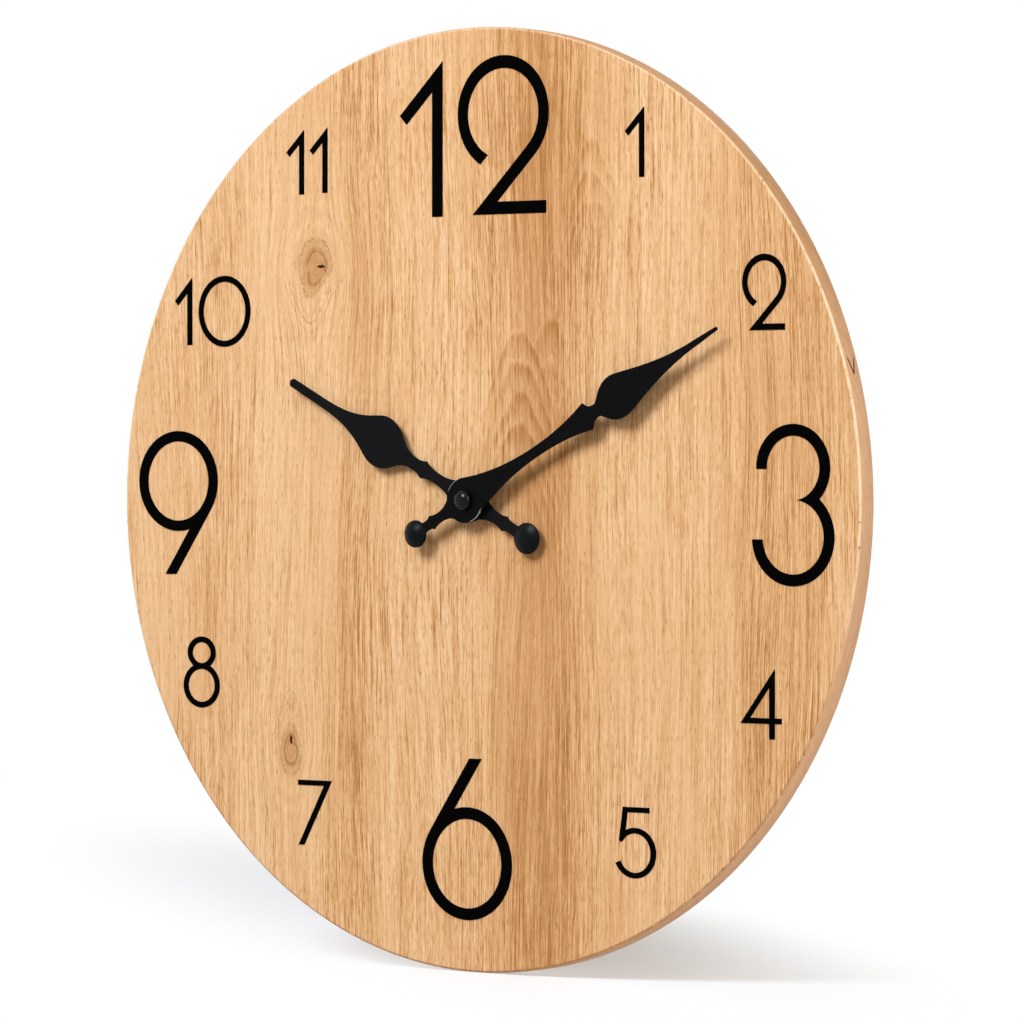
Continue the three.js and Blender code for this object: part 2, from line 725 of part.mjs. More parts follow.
// The round end of the tail swells forward in a shallow dome.
function tailDome({ at, radius, dome }, frontY) {
  const sphere = (radius ** 2 + dome ** 2) / (2 * dome);
  const rings = 3;
  const profile = [[0, frontY + handThickness / 2], [radius, frontY + handThickness / 2]];
  for (let step = 0; step < rings; step += 1) {
    const reach = radius * Math.cos((Math.PI / 2) * (step / rings));
    profile.push([reach, frontY - (Math.sqrt(sphere ** 2 - reach ** 2) - (sphere - dome))]);
  }
  profile.push([0, frontY - dome]);
  return turned(profile.reverse(), 20, [0, at]);
}
function turnedGroup(degrees, ...meshes) {
  const group = new THREE.Group();
  group.rotation.y = THREE.MathUtils.degToRad(degrees);
  group.add(...meshes);
  return group;
}
function hourHandPieces() {
  const inner = hourTubeDiameter / 2 + fitGap;
  const hole = rod(inner, hourHandFrontY - 1, hourHandBackY + 1, shaftAt, 20);
  const blade = handBlade(hourHand, hourHandFrontY);
  const hand = cut(join(blade, tailDome(hourHand.ball, hourHandFrontY)), hole);
  const collet = ring(inner, colletDiameter / 2, hourTubeEndY, hourHandFrontY, 20);
  return turnedGroup(
    hourHandAngle,
    piece("hour_hand", hand, blackPaint),
    piece("hour_hand_collet", collet, brass),
  );
}
function flatSided(radius, flats, frontY, rearY) {
  const round = rod(radius, frontY, rearY, shaftAt, 16);
  const wide = radius + 1;
  const half = flats / 2;
  return cut(
    round,
    block([half, wide], [frontY - 1, rearY + 1], [-wide, wide]),
    block([-wide, -half], [frontY - 1, rearY + 1], [-wide, wide]),
  );
}
function minuteHandPieces() {
  const holeRadius = minuteSpigotDiameter / 2 + fitGap;
  const holeFlats = minuteSpigotFlats + 2 * fitGap;
  const hole = flatSided(holeRadius, holeFlats, minuteHandFrontY - 1, minuteHandBackY + 1);
  const blade = handBlade(minuteHand, minuteHandFrontY);
  const hand = cut(join(blade, tailDome(minuteHand.ball, minuteHandFrontY)), hole);
  return turnedGroup(
    minuteHandAngle,
    piece("minute_hand", hand, blackPaint),
    piece("minute_arbor", minuteArbor(), brass),
    piece("cap_nut", capNut(), blackGloss),
  );
}
// A closed round nut with a domed end, screwed on the arbor's flat-sided spigot.
function capNut() {
  const radius = capDiameter / 2;
  const skirtY = minuteHandFrontY - capSkirt;
  const steps = 4;
  const profile = [];
  for (let step = 0; step <= steps; step += 1) {
    const turn = (Math.PI / 2) * (step / steps);
    profile.push([radius * Math.sin(turn), skirtY - (capHeight - capSkirt) * Math.cos(turn)]);
  }
  profile.push([radius, minuteHandFrontY], [0, minuteHandFrontY]);
  const bore = rod(minuteSpigotDiameter / 2 + fitGap, spigotEndY - fitGap, minuteHandFrontY + 1, shaftAt, 16);
  return cut(turned(profile, 24), bore);
}
const spigotEndY = minuteHandFrontY - capHeight * 0.6;

// The minute arbor carries the minute hand, the cannon pinion and the clutch flange.
function minuteArbor() {
  const radius = minuteArborDiameter / 2;
  const spigot = flatSided(minuteSpigotDiameter / 2, minuteSpigotFlats, spigotEndY, minuteHandBackY);
  const shaft = rod(radius, minuteHandBackY, clutchY, shaftAt, 16);
  const flange = rod(clutchFlangeRadius, clutchY, clutchY + clutchFlangeThickness, shaftAt, 20);
  const rearEnd = centreWheelY + wheelThickness + fitGap;
  const rear = rod(clutchSpigotDiameter / 2, clutchY, rearEnd, shaftAt, 16);
  const pinionFront = minuteWheelY - pinionOverhang;
  const pinionRear = minuteWheelY + wheelThickness + pinionOverhang;
  const toothAngle = cannonAngle + THREE.MathUtils.degToRad(minuteHandAngle);
  const pinion = pinionTeeth(cannonTeeth, motionModule, toothAngle, pinionFront, pinionRear);
  const pivotHole = rod(pivotRadius + pivotGap, rearEnd - 1.2, rearEnd + 1);
  return cut(join(spigot, shaft, flange, rear, pinion), pivotHole);
}

// Clamping stack
function threadedBushing() {
  const bore = hourTubeDiameter / 2 + pivotGap;
  const thread = threadDiameter / 2;
  const flange = bushingFlangeDiameter / 2;
  const flangeRear = workFrontY + bushingFlangeThickness;
  return turned(
    [
      [bore, threadEndY],
      [thread - 0.3, threadEndY],
      [thread, threadEndY + 0.3],
      [thread, workFrontY],
      [flange, workFrontY],
      [flange, flangeRear],
      [bore, flangeRear],
    ],
    20,
  );
}
function hexNut() {
  const corners = [];
  for (let corner = 0; corner < 6; corner += 1) {
    const turn = (Math.PI / 3) * corner;
    const reach = nutAcrossFlats / Math.sqrt(3);
    corners.push([reach * Math.cos(turn), reach * Math.sin(turn)]);
  }
  const body = plate(polygon(corners), nutFrontY, faceY - dialWasherThickness);
  return cut(body, rod(threadDiameter / 2 + fitGap, nutFrontY - 1, faceY + 1, shaftAt, 24));
}
function clampingPieces() {
  const hole = threadDiameter / 2 + fitGap;
  const rubberRing = ring(hole, rubberWasherDiameter / 2, panelBackY, -caseDepth, 28);
  const dialRing = ring(hole, dialWasherDiameter / 2, faceY - dialWasherThickness, faceY, 24);
  return [
    piece("threaded_bushing", threadedBushing(), brass),
    piece("rubber_washer", rubberRing, rubber),
    piece("dial_washer", dialRing, brass),
    piece("fixing_nut", hexNut(), brass),
  ];
}

// Case of the movement: a tray with a battery bay, posts for the wheels and the hanger on top
function caseFront() {
  const rearY = coverInsideY;
  const outer = roundedBox(-caseHalf, caseHalf, -caseHalf, caseHalf, caseCornerRadius);
  const corner = caseCornerRadius - caseWall;
  const works = roundedBox(-insideHalf, insideHalf, workBottomZ, insideHalf, corner);
  const bay = roundedBox(-insideHalf, insideHalf, -insideHalf, ribBottomZ, corner);
  const tray = cut(
    plate(outer, -caseDepth, rearY, 2),
    plate(works, workFrontY, rearY + 1, 2),
    plate(bay, -caseDepth + bayFloor, rearY + 1, 2),
  );
  const standing = standPlaces.map((at) => stand(at));
  const minutePost = join(
    rod(postBossRadius, workFrontY - 0.5, workFrontY + postBossHeight, minuteWheelAt),
    rod(postRadius, workFrontY, trainPlateY - endShake, minuteWheelAt),
  );
  const settingBoss = rod(postBossRadius, workFrontY - 0.5, settingBossY, settingAt);
  const settingHole = rod(postRadius + pivotGap, settingBossY - 1.3, settingBossY + 1, settingAt);
  const bushingHole = rod(threadDiameter / 2 + fitGap, -caseDepth - 1, workFrontY + 1, shaftAt, 24);
  const body = join(tray, ...standing, minutePost, settingBoss, hanger());
  return cut(body, settingHole, bushingHole);
}
const settingBossY = minuteWheelY - pinionOverhang - endShake;
const standInset = 3;
const lowerRightStandX = 14.5;
const standPlaces = [
  [-insideHalf + standInset, insideHalf - standInset],
  [insideHalf - standInset, insideHalf - standInset],
  [-insideHalf + standInset, workBottomZ + standInset],
  [lowerRightStandX, workBottomZ + standInset],
];
// A stand carries the train plate, and its staked end passes through the plate.
function stand(at) {
  return join(
    rod(standRadius, workFrontY - 0.5, trainPlateY, at),
    rod(stakeRadius, trainPlateY - 0.5, trainPlateRearY + stakeHeight, at),
  );
}
function hanger() {
  const halfWidth = slotWidth / 2 + hangerSide;
  const slotTop = -shaftZ;
  const slotBottom = slotTop - slotHeight;
  const tabBottom = caseHalf + seatGap;
  const tab = roundedBox(-halfWidth, halfWidth, tabBottom - 4, slotTop + hangerTop, 3);
  const slot = roundedBox(-slotWidth / 2, slotWidth / 2, slotBottom, slotTop, slotCornerRadius);
  const underTab = block(
    [-halfWidth - 1, halfWidth + 1],
    [coverInsideY, 1],
    [caseHalf - 5, tabBottom],
  );
  const insideCase = block(
    [-halfWidth - 1, halfWidth + 1],
    [-hangerThickness - 1, 1],
    [caseHalf - 5, caseHalf - caseWall / 2],
  );
  return cut(
    plate(tab, -hangerThickness, 0, 2),
    plate(slot, -hangerThickness - 1, 1, 2),
    underTab,
    insideCase,
  );
}

// Rear cover with the battery window, the bearings and the hole for the setting knob
function rearCover() {
  const outline = roundedBox(-caseHalf, caseHalf, -caseHalf, caseHalf, caseCornerRadius);
  const bay = roundedBox(-insideHalf, insideHalf, -insideHalf, ribBottomZ, caseCornerRadius - caseWall);
  const bosses = [shaftAt, thirdAt, rotorAt, intermediateAt].map((at) =>
    rod(rearBossRadius, bossFrontY, coverInsideY + 0.5, at),
  );
  const holes = [shaftAt, thirdAt, rotorAt, intermediateAt].map((at) =>
    rod(pivotRadius + pivotGap, bossFrontY - 1, coverInsideY + 0.5, at),
  );
  const tongueAt = insideHalf - seatGap - tongueThickness;
  const tongues = [-1, 1].map((side) => {
    const reach = [side * tongueAt, side * (tongueAt + tongueThickness)].sort((a, b) => a - b);
    return block(reach, [coverInsideY - tongueDepth, coverInsideY + 0.5], tongueZ);
  });
  return cut(
    join(plate(outline, coverInsideY, 0, 2), ...bosses, ...tongues),
    plate(bay, coverInsideY - 1, 1, 2),
    rod(knobRadius + knobGap, coverInsideY - 1, 1, settingAt, 32),
    ...holes,
  );
}
const tongueThickness = 1;
const tongueDepth = 1.5;
const tongueZ = [6, 14];

// Train plate: carries the front pivots, the stator's pillars and the circuit board
function trainPlate() {
  const edge = insideHalf - seatGap;
  const outline = roundedBox(-edge, edge, workBottomZ + seatGap, edge, 2);
  const pillars = coreEnds.map((at) => rod(standRadius, trainPlateRearY - 0.5, statorY, at));
  const pillarHoles = coreEnds.map((at) =>
    rod(coreScrewRadius + fitGap, statorY - coreScrewLength, statorY + 1, at),
  );
  const pivots = [thirdAt, rotorAt, intermediateAt].map((at) =>
    rod(pivotRadius + pivotGap, trainPlateY - 1, trainPlateRearY + 1, at),
  );
  const stakes = standPlaces.map((at) =>
    rod(stakeRadius + fitGap, trainPlateY - 1, trainPlateRearY + 1, at),
  );
  return cut(
    join(plate(outline, trainPlateY, trainPlateRearY, 2), ...pillars),
    rod(minuteArborDiameter / 2 + pivotGap, trainPlateY - 1, trainPlateRearY + 1, shaftAt, 16),
    rod(knobShaftRadius + pivotGap, trainPlateY - 1, trainPlateRearY + 1, settingAt),
    ...pivots,
    ...pillarHoles,
    ...stakes,
  );
}

// Wheels on arbors between the train plate and the rear cover
function arbor(at) {
  const frontY = trainPlateRearY + endShake;
  const rearY = bossFrontY - endShake;
  return join(
    rod(arborRadius, frontY, rearY, at, 10),
    rod(pivotRadius, trainPlateY + endShake, frontY + 0.1, at, 8),
    rod(pivotRadius, rearY - 0.1, bossFrontY + rearBossHeight - endShake, at, 8),
  );
}
function onAxis(mesh, [x, z]) {
  mesh.position.set(x, 0, z);
  return mesh;
}
function thirdWheel() {
  return join(
    arbor(shaftAt),
    wheelTeeth(thirdWheelTeeth, rotorModule, thirdWheelAngle, thirdWheelY),
    pinionTeeth(trainPinionTeeth, secondsModule, 0, secondsWheelY - pinionOverhang, thirdWheelY),
  );
}
function intermediateWheel() {
  const pinionFront = centreWheelY - pinionOverhang;
  return join(
    arbor(shaftAt),
    wheelTeeth(intermediateWheelTeeth, intermediateModule, intermediateWheelAngle, intermediateWheelY),
    pinionTeeth(trainPinionTeeth, centreModule, 0, pinionFront, intermediateWheelY),
  );
}
// The seconds wheel turns on the shaft's line: in front it runs in the minute arbor's end.
function secondsWheel() {
  const arborFront = centreWheelY + wheelThickness + fitGap + endShake;
  const rearY = bossFrontY - endShake;
  const pinionFront = intermediateWheelY - pinionOverhang;
  return join(
    rod(arborRadius, arborFront, rearY, shaftAt, 10),
    rod(pivotRadius, arborFront - 1, arborFront + 0.1, shaftAt, 8),
    rod(pivotRadius, rearY - 0.1, bossFrontY + rearBossHeight - endShake, shaftAt, 8),
    wheelTeeth(secondsWheelTeeth, secondsModule, secondsWheelAngle, secondsWheelY),
    pinionTeeth(trainPinionTeeth, intermediateModule, 0, pinionFront, secondsWheelY),
  );
}
// The centre wheel slips on the minute arbor when the hands are set.
function centreWheel() {
  const bore = rod(clutchSpigotDiameter / 2 + pivotGap, centreWheelY - 1, centreWheelY + 2, shaftAt, 16);
  return cut(wheelTeeth(centreWheelTeeth, centreModule, centreWheelAngle, centreWheelY), bore);
}
function clutchSpring() {
  const frontY = clutchY + clutchFlangeThickness + fitGap;
  const inner = clutchSpigotDiameter / 2 + fitGap;
  return ring(inner, clutchFlangeRadius, frontY, frontY + clutchSpringThickness, 20);
}
function hourWheel() {
  const outer = hourTubeDiameter / 2;
  const inner = minuteArborDiameter / 2 + pivotGap;
  const tube = ring(inner, outer, hourTubeEndY, hourWheelY + wheelThickness, 16);
  const teeth = wheelTeeth(hourWheelTeeth, motionModule, hourWheelAngle, hourWheelY);
  return join(tube, cut(teeth, rod(inner, hourWheelY - 1, hourWheelY + 2, shaftAt, 16)));
}
function minuteWheel() {
  const pinionFront = hourWheelY - pinionOverhang;
  const body = join(
    wheelTeeth(minuteWheelTeeth, motionModule, minuteWheelAngle, minuteWheelY),
    pinionTeeth(minutePinionTeeth, motionModule, 0, pinionFront, minuteWheelY),
  );
  return cut(body, rod(postRadius + pivotGap, pinionFront - 1, minuteWheelY + 2));
}

// Setting knob, its shaft and its pinion in one moulding
function settingKnob() {
  const pinionFront = minuteWheelY - pinionOverhang;
  const pinionRear = minuteWheelY + wheelThickness + pinionOverhang;
  const knobRear = -knobRecess;
  const knobFront = knobRear - knobThickness;
  const flutes = [];
  for (let flute = 0; flute < knobFlutes; flute += 1) {
    const at = stepFrom(shaftAt, (2 * Math.PI * flute) / knobFlutes, knobRadius);
    flutes.push(rod(knobFluteRadius, knobFront - 1, knobRear + 1, at, 6));
  }
  const knob = cut(rod(knobRadius, knobFront, knobRear, shaftAt, 30), ...flutes);
  const slit = block([-knobRadius * 0.6, knobRadius * 0.6], [knobRear - 0.8, 1], [-0.5, 0.5]);
  return join(
    cut(knob, slit),
    rod(knobShaftRadius, pinionRear - 0.2, knobFront + 0.2),
    rod(postRadius, settingBossY - 1, pinionFront + 0.2),
    pinionTeeth(settingTeeth, motionModule, settingAngle, pinionFront, pinionRear),
  );
}

// Stepping motor: rotor, stator plate and coil
const statorY = trainPlateRearY + statorHeight;
const coreY = statorY + statorThickness;
const coilX = rotorAt[0] + statorRight + coilGap + bobbinFlange.width / 2;
const motorTopZ = insideHalf - coilTopRoom;
const motorBottomZ = workBottomZ + coilFootRoom;
const coilMiddleZ = (motorTopZ + motorBottomZ) / 2;
const coilLength = motorTopZ - motorBottomZ - coreReach - statorArm;
const coreEnds = [-1, 1].map((end) => [coilX, coilMiddleZ + end * (coilLength / 2 + coreReach / 2)]);
function rotorPinion() {
  const pinionFront = thirdWheelY - pinionOverhang;
  const pinionRear = thirdWheelY + wheelThickness + pinionOverhang;
  const hubFront = trainPlateRearY + endShake + 0.3;
  return join(
    arbor(shaftAt),
    rod(magnetBoreRadius - fitGap, hubFront, hubFront + magnetLength + 0.4),
    pinionTeeth(trainPinionTeeth, rotorModule, rotorAngle, pinionFront, pinionRear),
  );
}
function rotorMagnet() {
  const frontY = trainPlateRearY + endShake + 0.5;
  return ring(magnetBoreRadius, magnetRadius, frontY, frontY + magnetLength, 24);
}
// The stator is a C: a bar with the rotor's hole, and two arms to the ends of the coil's core.
function stator() {
  const [rotorX, rotorZ] = rotorAt;
  const left = rotorX - statorLeft;
  const right = rotorX + statorRight;
  const [[, lowZ], [, highZ]] = coreEnds;
  const half = statorArm / 2;
  const armEnd = coilX + coreWidth / 2;
  const outline = polygon([
    [left, lowZ - half],
    [armEnd, lowZ - half],
    [armEnd, lowZ + half],
    [right, lowZ + half],
    [right, highZ - half],
    [armEnd, highZ - half],
    [armEnd, highZ + half],
    [left, highZ + half],
  ]);
  const rotorHole = rod(magnetRadius + statorGap, statorY - 1, coreY + 1, [rotorX, rotorZ], 32);
  const screwHoles = coreEnds.map((at) => rod(coreScrewRadius + fitGap, statorY - 1, coreY + 1, at));
  return cut(plate(outline, statorY, coreY), rotorHole, ...screwHoles);
}
function coilCore() {
  const [[, lowZ], [, highZ]] = coreEnds;
  const half = statorArm / 2;
  const strip = block(
    [coilX - coreWidth / 2, coilX + coreWidth / 2],
    [coreY, coreY + statorThickness],
    [lowZ - half, highZ + half],
  );
  const holes = coreEnds.map((at) => rod(coreScrewRadius + fitGap, coreY - 1, coreY + 2, at));
  return cut(strip, ...holes);
}
function coilBox(width, depth, [z0, z1]) {
  const middleY = coreY + statorThickness / 2;
  return block(
    [coilX - width / 2, coilX + width / 2],
    [middleY - depth / 2, middleY + depth / 2],
    [z0, z1],
  );
}
const coilSpan = [coilMiddleZ - coilLength / 2, coilMiddleZ + coilLength / 2];
const tunnelWidth = coreWidth + 2 * fitGap;
const tunnelDepth = statorThickness + 2 * fitGap;
function coilBobbin() {
  const { width, depth, thickness } = bobbinFlange;
  const [z0, z1] = coilSpan;
  const sleeve = coilBox(tunnelWidth + 2 * bobbinWall, tunnelDepth + 2 * bobbinWall, coilSpan);
  return cut(
    join(
      sleeve,
      coilBox(width, depth, [z0, z0 + thickness]),
      coilBox(width, depth, [z1 - thickness, z1]),
    ),
    coilBox(tunnelWidth, tunnelDepth, [z0 - 1, z1 + 1]),
  );
}
function coilWinding() {
  const { width, depth, thickness } = bobbinFlange;
  const span = [coilSpan[0] + thickness + fitGap, coilSpan[1] - thickness - fitGap];
  const halfX = width / 2 - windingInset;
  const halfY = depth / 2 - windingInset;
  const outline = roundedBox(coilX - halfX, coilX + halfX, -halfY, halfY, 1.2);
  const geometry = new THREE.ExtrudeGeometry(outline, {
    depth: span[1] - span[0],
    bevelEnabled: false,
    curveSegments: 3,
  });
  geometry.translate(0, coreY + statorThickness / 2, span[0]);
  const sleeveGap = 2 * (bobbinWall + fitGap);
  return cut(
    solid(geometry),
    coilBox(tunnelWidth + sleeveGap, tunnelDepth + sleeveGap, [span[0] - 1, span[1] + 1]),
  );
}
function coreScrew() {
  const headFront = coreY + statorThickness;
  const headRear = headFront + coreScrewHeadHeight;
  const shankFront = statorY - coreScrewLength + fitGap;
  const slit = block(
    [-coreScrewHeadRadius - 1, coreScrewHeadRadius + 1],
    [headRear - 0.4, headRear + 1],
    [-0.25, 0.25],
  );
  const head = rod(coreScrewHeadRadius, headFront, headRear, shaftAt, 16);
  return join(cut(head, slit), rod(coreScrewRadius, shankFront, headFront + 0.1));
}

// Circuit board with its sealed chip and its quartz crystal
const boardX = [-insideHalf + boardGap, -insideHalf + boardGap + boardWidth];
const boardBottomZ = settingAt[1] + knobRadius + boardGap;
const boardZ = [boardBottomZ, boardBottomZ + boardHeight];
const boardRearY = trainPlateRearY + boardThickness;
function chip() {
  const at = [boardX[0] + boardWidth * 0.7, (boardZ[0] + boardZ[1]) / 2];
  const profile = [
    [0, boardRearY],
    [chipRadius, boardRearY],
    [chipRadius * 0.85, boardRearY + chipHeight * 0.6],
    [chipRadius * 0.4, boardRearY + chipHeight],
    [0, boardRearY + chipHeight],
  ];
  return turned(profile, 16, at);
}
function crystal() {
  const at = boardX[0] + boardWidth * 0.2;
  const middleZ = (boardZ[0] + boardZ[1]) / 2;
  const can = new THREE.CylinderGeometry(crystalRadius, crystalRadius, crystalLength, 12);
  can.rotateX(Math.PI / 2);
  can.translate(at, boardRearY + crystalRadius + fitGap, middleZ);
  return solid(can);
}

// Battery, lying across the bay, and its two contacts
function battery() {
  const radius = batteryDiameter / 2;
  const nub = batteryNubDiameter / 2;
  const body = batteryLength - batteryNubLength;
  const round = 0.6;
  const profile = [
    [0, 0],
    [radius - round, 0],
    [radius, round],
    [radius, body - round],
    [radius - round, body],
    [nub, body],
    [nub, batteryLength],
    [0, batteryLength],
  ];
  const geometry = new THREE.LatheGeometry(
    profile.map(([r, along]) => new THREE.Vector2(r, along)),
    28,
  );
  geometry.rotateZ(-Math.PI / 2);
  geometry.translate(insideHalf - contactThickness - seatGap - batteryLength, batteryY, batteryZ);
  return solid(geometry);
}
function contactStrip(sideX) {
  const x = [sideX, sideX + contactThickness];
  const halfWidth = contactWidth / 2;
  const floorY = -caseDepth + bayFloor;
  return block(x, [floorY, batteryY + halfWidth], [batteryZ - halfWidth, batteryZ + halfWidth]);
}
function positiveContact() {
  return contactStrip(insideHalf - contactThickness);
}
// The negative contact is a leaf that bows out to press on the flat end of the cell.
function negativeContact() {
  const wallX = -insideHalf;
  const bowX = wallX + contactThickness + contactBow;
  const halfWidth = contactWidth / 4;
  const bow = new THREE.Shape();
  const lowY = batteryY - contactWidth / 2;
  const highY = batteryY + contactWidth / 2;
  bow.moveTo(wallX + contactThickness / 2, lowY);
  bow.quadraticCurveTo(2 * bowX - wallX - contactThickness, batteryY, wallX + contactThickness / 2, highY);
  bow.lineTo(wallX + contactThickness / 2, highY - contactThickness * 2);
  const inner = 2 * (bowX - contactThickness) - wallX - contactThickness / 2;
  bow.quadraticCurveTo(inner, batteryY, wallX + contactThickness / 2, lowY + contactThickness * 2);
  const geometry = new THREE.ExtrudeGeometry(bow, {
    depth: 2 * halfWidth,
    bevelEnabled: false,
    curveSegments: 10,
  });
  geometry.translate(0, 0, batteryZ - halfWidth);
  return join(contactStrip(wallX), solid(geometry));
}

// Assembly
const clock = new THREE.Group();
clock.position.set(0, 0, shaftZ);
const dial = new THREE.Group();
dial.add(woodenPanel(), ...Object.entries(numeralPlaces).map(numeralPiece));
clock.add(dial, hourHandPieces(), minuteHandPieces(), ...clampingPieces());

const movement = new THREE.Group();
movement.add(
  piece("case_front", caseFront(), blackPlastic),
  piece("rear_cover", rearCover(), blackPlastic),
  piece("train_plate", trainPlate(), whiteNylon),
  piece("hour_wheel", hourWheel(), whiteNylon),
  onAxis(piece("minute_wheel", minuteWheel(), whiteNylon), minuteWheelAt),
  onAxis(piece("setting_knob", settingKnob(), whiteNylon), settingAt),
  piece("centre_wheel", centreWheel(), whiteNylon),
  piece("clutch_spring", clutchSpring(), steel),
  onAxis(piece("intermediate_wheel", intermediateWheel(), whiteNylon), intermediateAt),
  piece("seconds_wheel", secondsWheel(), whiteNylon),
  onAxis(piece("third_wheel", thirdWheel(), whiteNylon), thirdAt),
  onAxis(piece("rotor_pinion", rotorPinion(), whiteNylon), rotorAt),
  onAxis(piece("rotor_magnet", rotorMagnet(), magnetBlack), rotorAt),
  piece("stator", stator(), steel),
  piece("coil_core", coilCore(), steel),
  piece("coil_bobbin", coilBobbin(), blackPlastic),
  piece("coil_winding", coilWinding(), copper),
  ...coreEnds.map((at, end) => onAxis(piece(`core_screw_${end + 1}`, coreScrew(), steel), at)),
  piece("circuit_board", block(boardX, [trainPlateRearY, boardRearY], boardZ), boardGreen),
  piece("chip", chip(), blackPlastic),
  piece("crystal", crystal(), steel),
  piece("battery", battery(), cellJacket),
  piece("positive_contact", positiveContact(), steel),
  piece("negative_contact", negativeContact(), steel),
);
clock.add(movement);

const part = new THREE.Group();
part.add(clock);
export default part;
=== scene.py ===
"""Looks of a round wooden wall clock: oak panel, black numerals and hands, quartz movement.

Lengths are millimetres, but where a comment says metres: X to the right, Z up, Y back to the wall.
X and Z of a piece are given from the middle of the panel, and meshes are written in metres.
"""
import json
import math

import bmesh
import bpy
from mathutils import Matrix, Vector
from mathutils.geometry import delaunay_2d_cdt


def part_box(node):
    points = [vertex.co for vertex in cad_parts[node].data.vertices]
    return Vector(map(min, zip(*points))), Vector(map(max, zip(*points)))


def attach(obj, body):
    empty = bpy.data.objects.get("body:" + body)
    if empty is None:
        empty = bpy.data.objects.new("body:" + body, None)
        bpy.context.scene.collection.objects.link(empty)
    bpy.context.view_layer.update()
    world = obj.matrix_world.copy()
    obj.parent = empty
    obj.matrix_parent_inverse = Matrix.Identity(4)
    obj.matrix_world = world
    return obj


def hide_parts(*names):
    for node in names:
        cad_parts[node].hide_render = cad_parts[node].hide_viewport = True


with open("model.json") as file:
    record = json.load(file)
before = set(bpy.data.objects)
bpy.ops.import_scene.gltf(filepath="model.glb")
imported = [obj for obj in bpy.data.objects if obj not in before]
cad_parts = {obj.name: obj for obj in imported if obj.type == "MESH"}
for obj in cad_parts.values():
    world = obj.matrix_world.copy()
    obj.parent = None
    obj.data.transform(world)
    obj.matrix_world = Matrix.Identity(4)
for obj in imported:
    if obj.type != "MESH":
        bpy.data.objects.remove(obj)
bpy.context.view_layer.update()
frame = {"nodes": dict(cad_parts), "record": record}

MM = 0.001
FLAT = 0.99995      # a normal at least this far along Y marks a flat front or back
LAP = 0.5           # how far pieces that are made one run into each other

# Panel. The shaft of the hands is its middle, below the part's origin.
SHAFT = (0, 0)
SHAFT_Z = -35.5
FACE_Y = -24.0
BACK_Y = -17.0
PANEL_RADIUS = 150.0
PANEL_RINGS = (70.0, 140.0)     # rings of corners on its flat sides
EDGE_ROUND = 0.8
BORE_RADIUS = 4.25

# Numerals, cut from film
FILM_THICKNESS = 0.25
FILM_EDGE = 0.04

# Hands. A point of an outline is how far along the hand it lies from the hub, and its half width.
HAND_THICKNESS = 0.5
HAND_EDGE = 0.18
HOUR_HAND_FRONT_Y = -27.1
MINUTE_HAND_FRONT_Y = -29.4
HOUR_HAND_ANGLE = 297.1
MINUTE_HAND_ANGLE = 61.9
MINUTE_HAND = {
    "hub": 7.2,
    "ball": {"at": -23, "radius": 4.35, "dome": 1.7},
    "neck_end": 1.7,
    "tail": {"leaves": (-6.2, 3.6), "pull": ((-8.5, 1.2), (-13, 1.2)), "barb": (-15.3, 2.4),
             "notch": (-16.2, 1.2)},
    "shoulder": {"leaves": (2, 6.9), "pull": ((10, 3.9), (20, 1.65)), "ends": (33, 1.65)},
    "rise": {"pull": ((43, 1.65), (50, 3)), "ends": (56, 4.6)},
    "scoop": {"pull": ((57.3, 2.1),), "ends": (59.7, 2.1)},
    "spade": {"pull": ((62, 2.1), (63, 7.05)), "ends": (69.5, 7.05)},
    "taper": {"pull": ((73, 7.05), (86, 1.2)), "ends": (104, 0.95)},
    "tip": 0.55,
    "length": 113,
}
HOUR_HAND = {
    "hub": 7,
    "ball": {"at": -26.2, "radius": 4.95, "dome": 1.4},
    "neck_end": 1.85,
    "tail": {"leaves": (-5.9, 3.8), "pull": ((-9.5, 1.9), (-13.2, 1.2)), "barb": (-16.2, 2.6),
             "notch": (-17.3, 1.35)},
    "shoulder": {"leaves": (5.3, 4.6), "pull": ((8.5, 2.2), (12, 1.75)), "ends": (15, 1.75)},
    "rise": {"pull": ((17.5, 1.75), (19.5, 2.2)), "ends": (21.2, 3)},
    "scoop": {"pull": ((22.6, 2),), "ends": (25.3, 2)},
    "spade": {"pull": ((33.5, 2), (33, 8.35)), "ends": (41, 8.35)},
    "taper": {"pull": ((47, 8.35), (49.5, 1.6)), "ends": (68, 1.5)},
    "tip": 1.4,
    "length": 84.1,
}
HOUR_HOLE_RADIUS = 2.55
MINUTE_HOLE_RADIUS = 1.25
CAP_RADIUS = 3.2
CAP_HEIGHT = 2.7
CAP_SKIRT = 0.8

# Movement behind the panel. X and Z are from the shaft.
CASE_HALF = 28.0
CASE_WALL = 1.5
CASE_CORNER = 4.0
CASE_FRONT_Y = -16.0
WORKS_FRONT_Y = -14.5
BAY_FRONT_Y = -15.1
COVER_Y = -1.5
RIB = (-11.4, -10.4)
TRAIN_PLATE_Y = (-10.4, -9.4)
CELL_X = (-24.7, 25.8)
CELL_RADIUS = 7.25
CELL_MIDDLE = (-7.55, -18.95)
CELL_NUB_RADIUS = 2.6
CELL_NUB_LENGTH = 1.2

# Camera, as its direction and distance from the point it looks at
CAMERA_AZIMUTH = math.radians(38.753)
CAMERA_ELEVATION = math.radians(0.545)
CAMERA_DISTANCE = 1844.0
CAMERA_TARGET = (15.07, -24.0, -39.16)
CAMERA_LENS = 205.30
SENSOR_WIDTH = 36.0

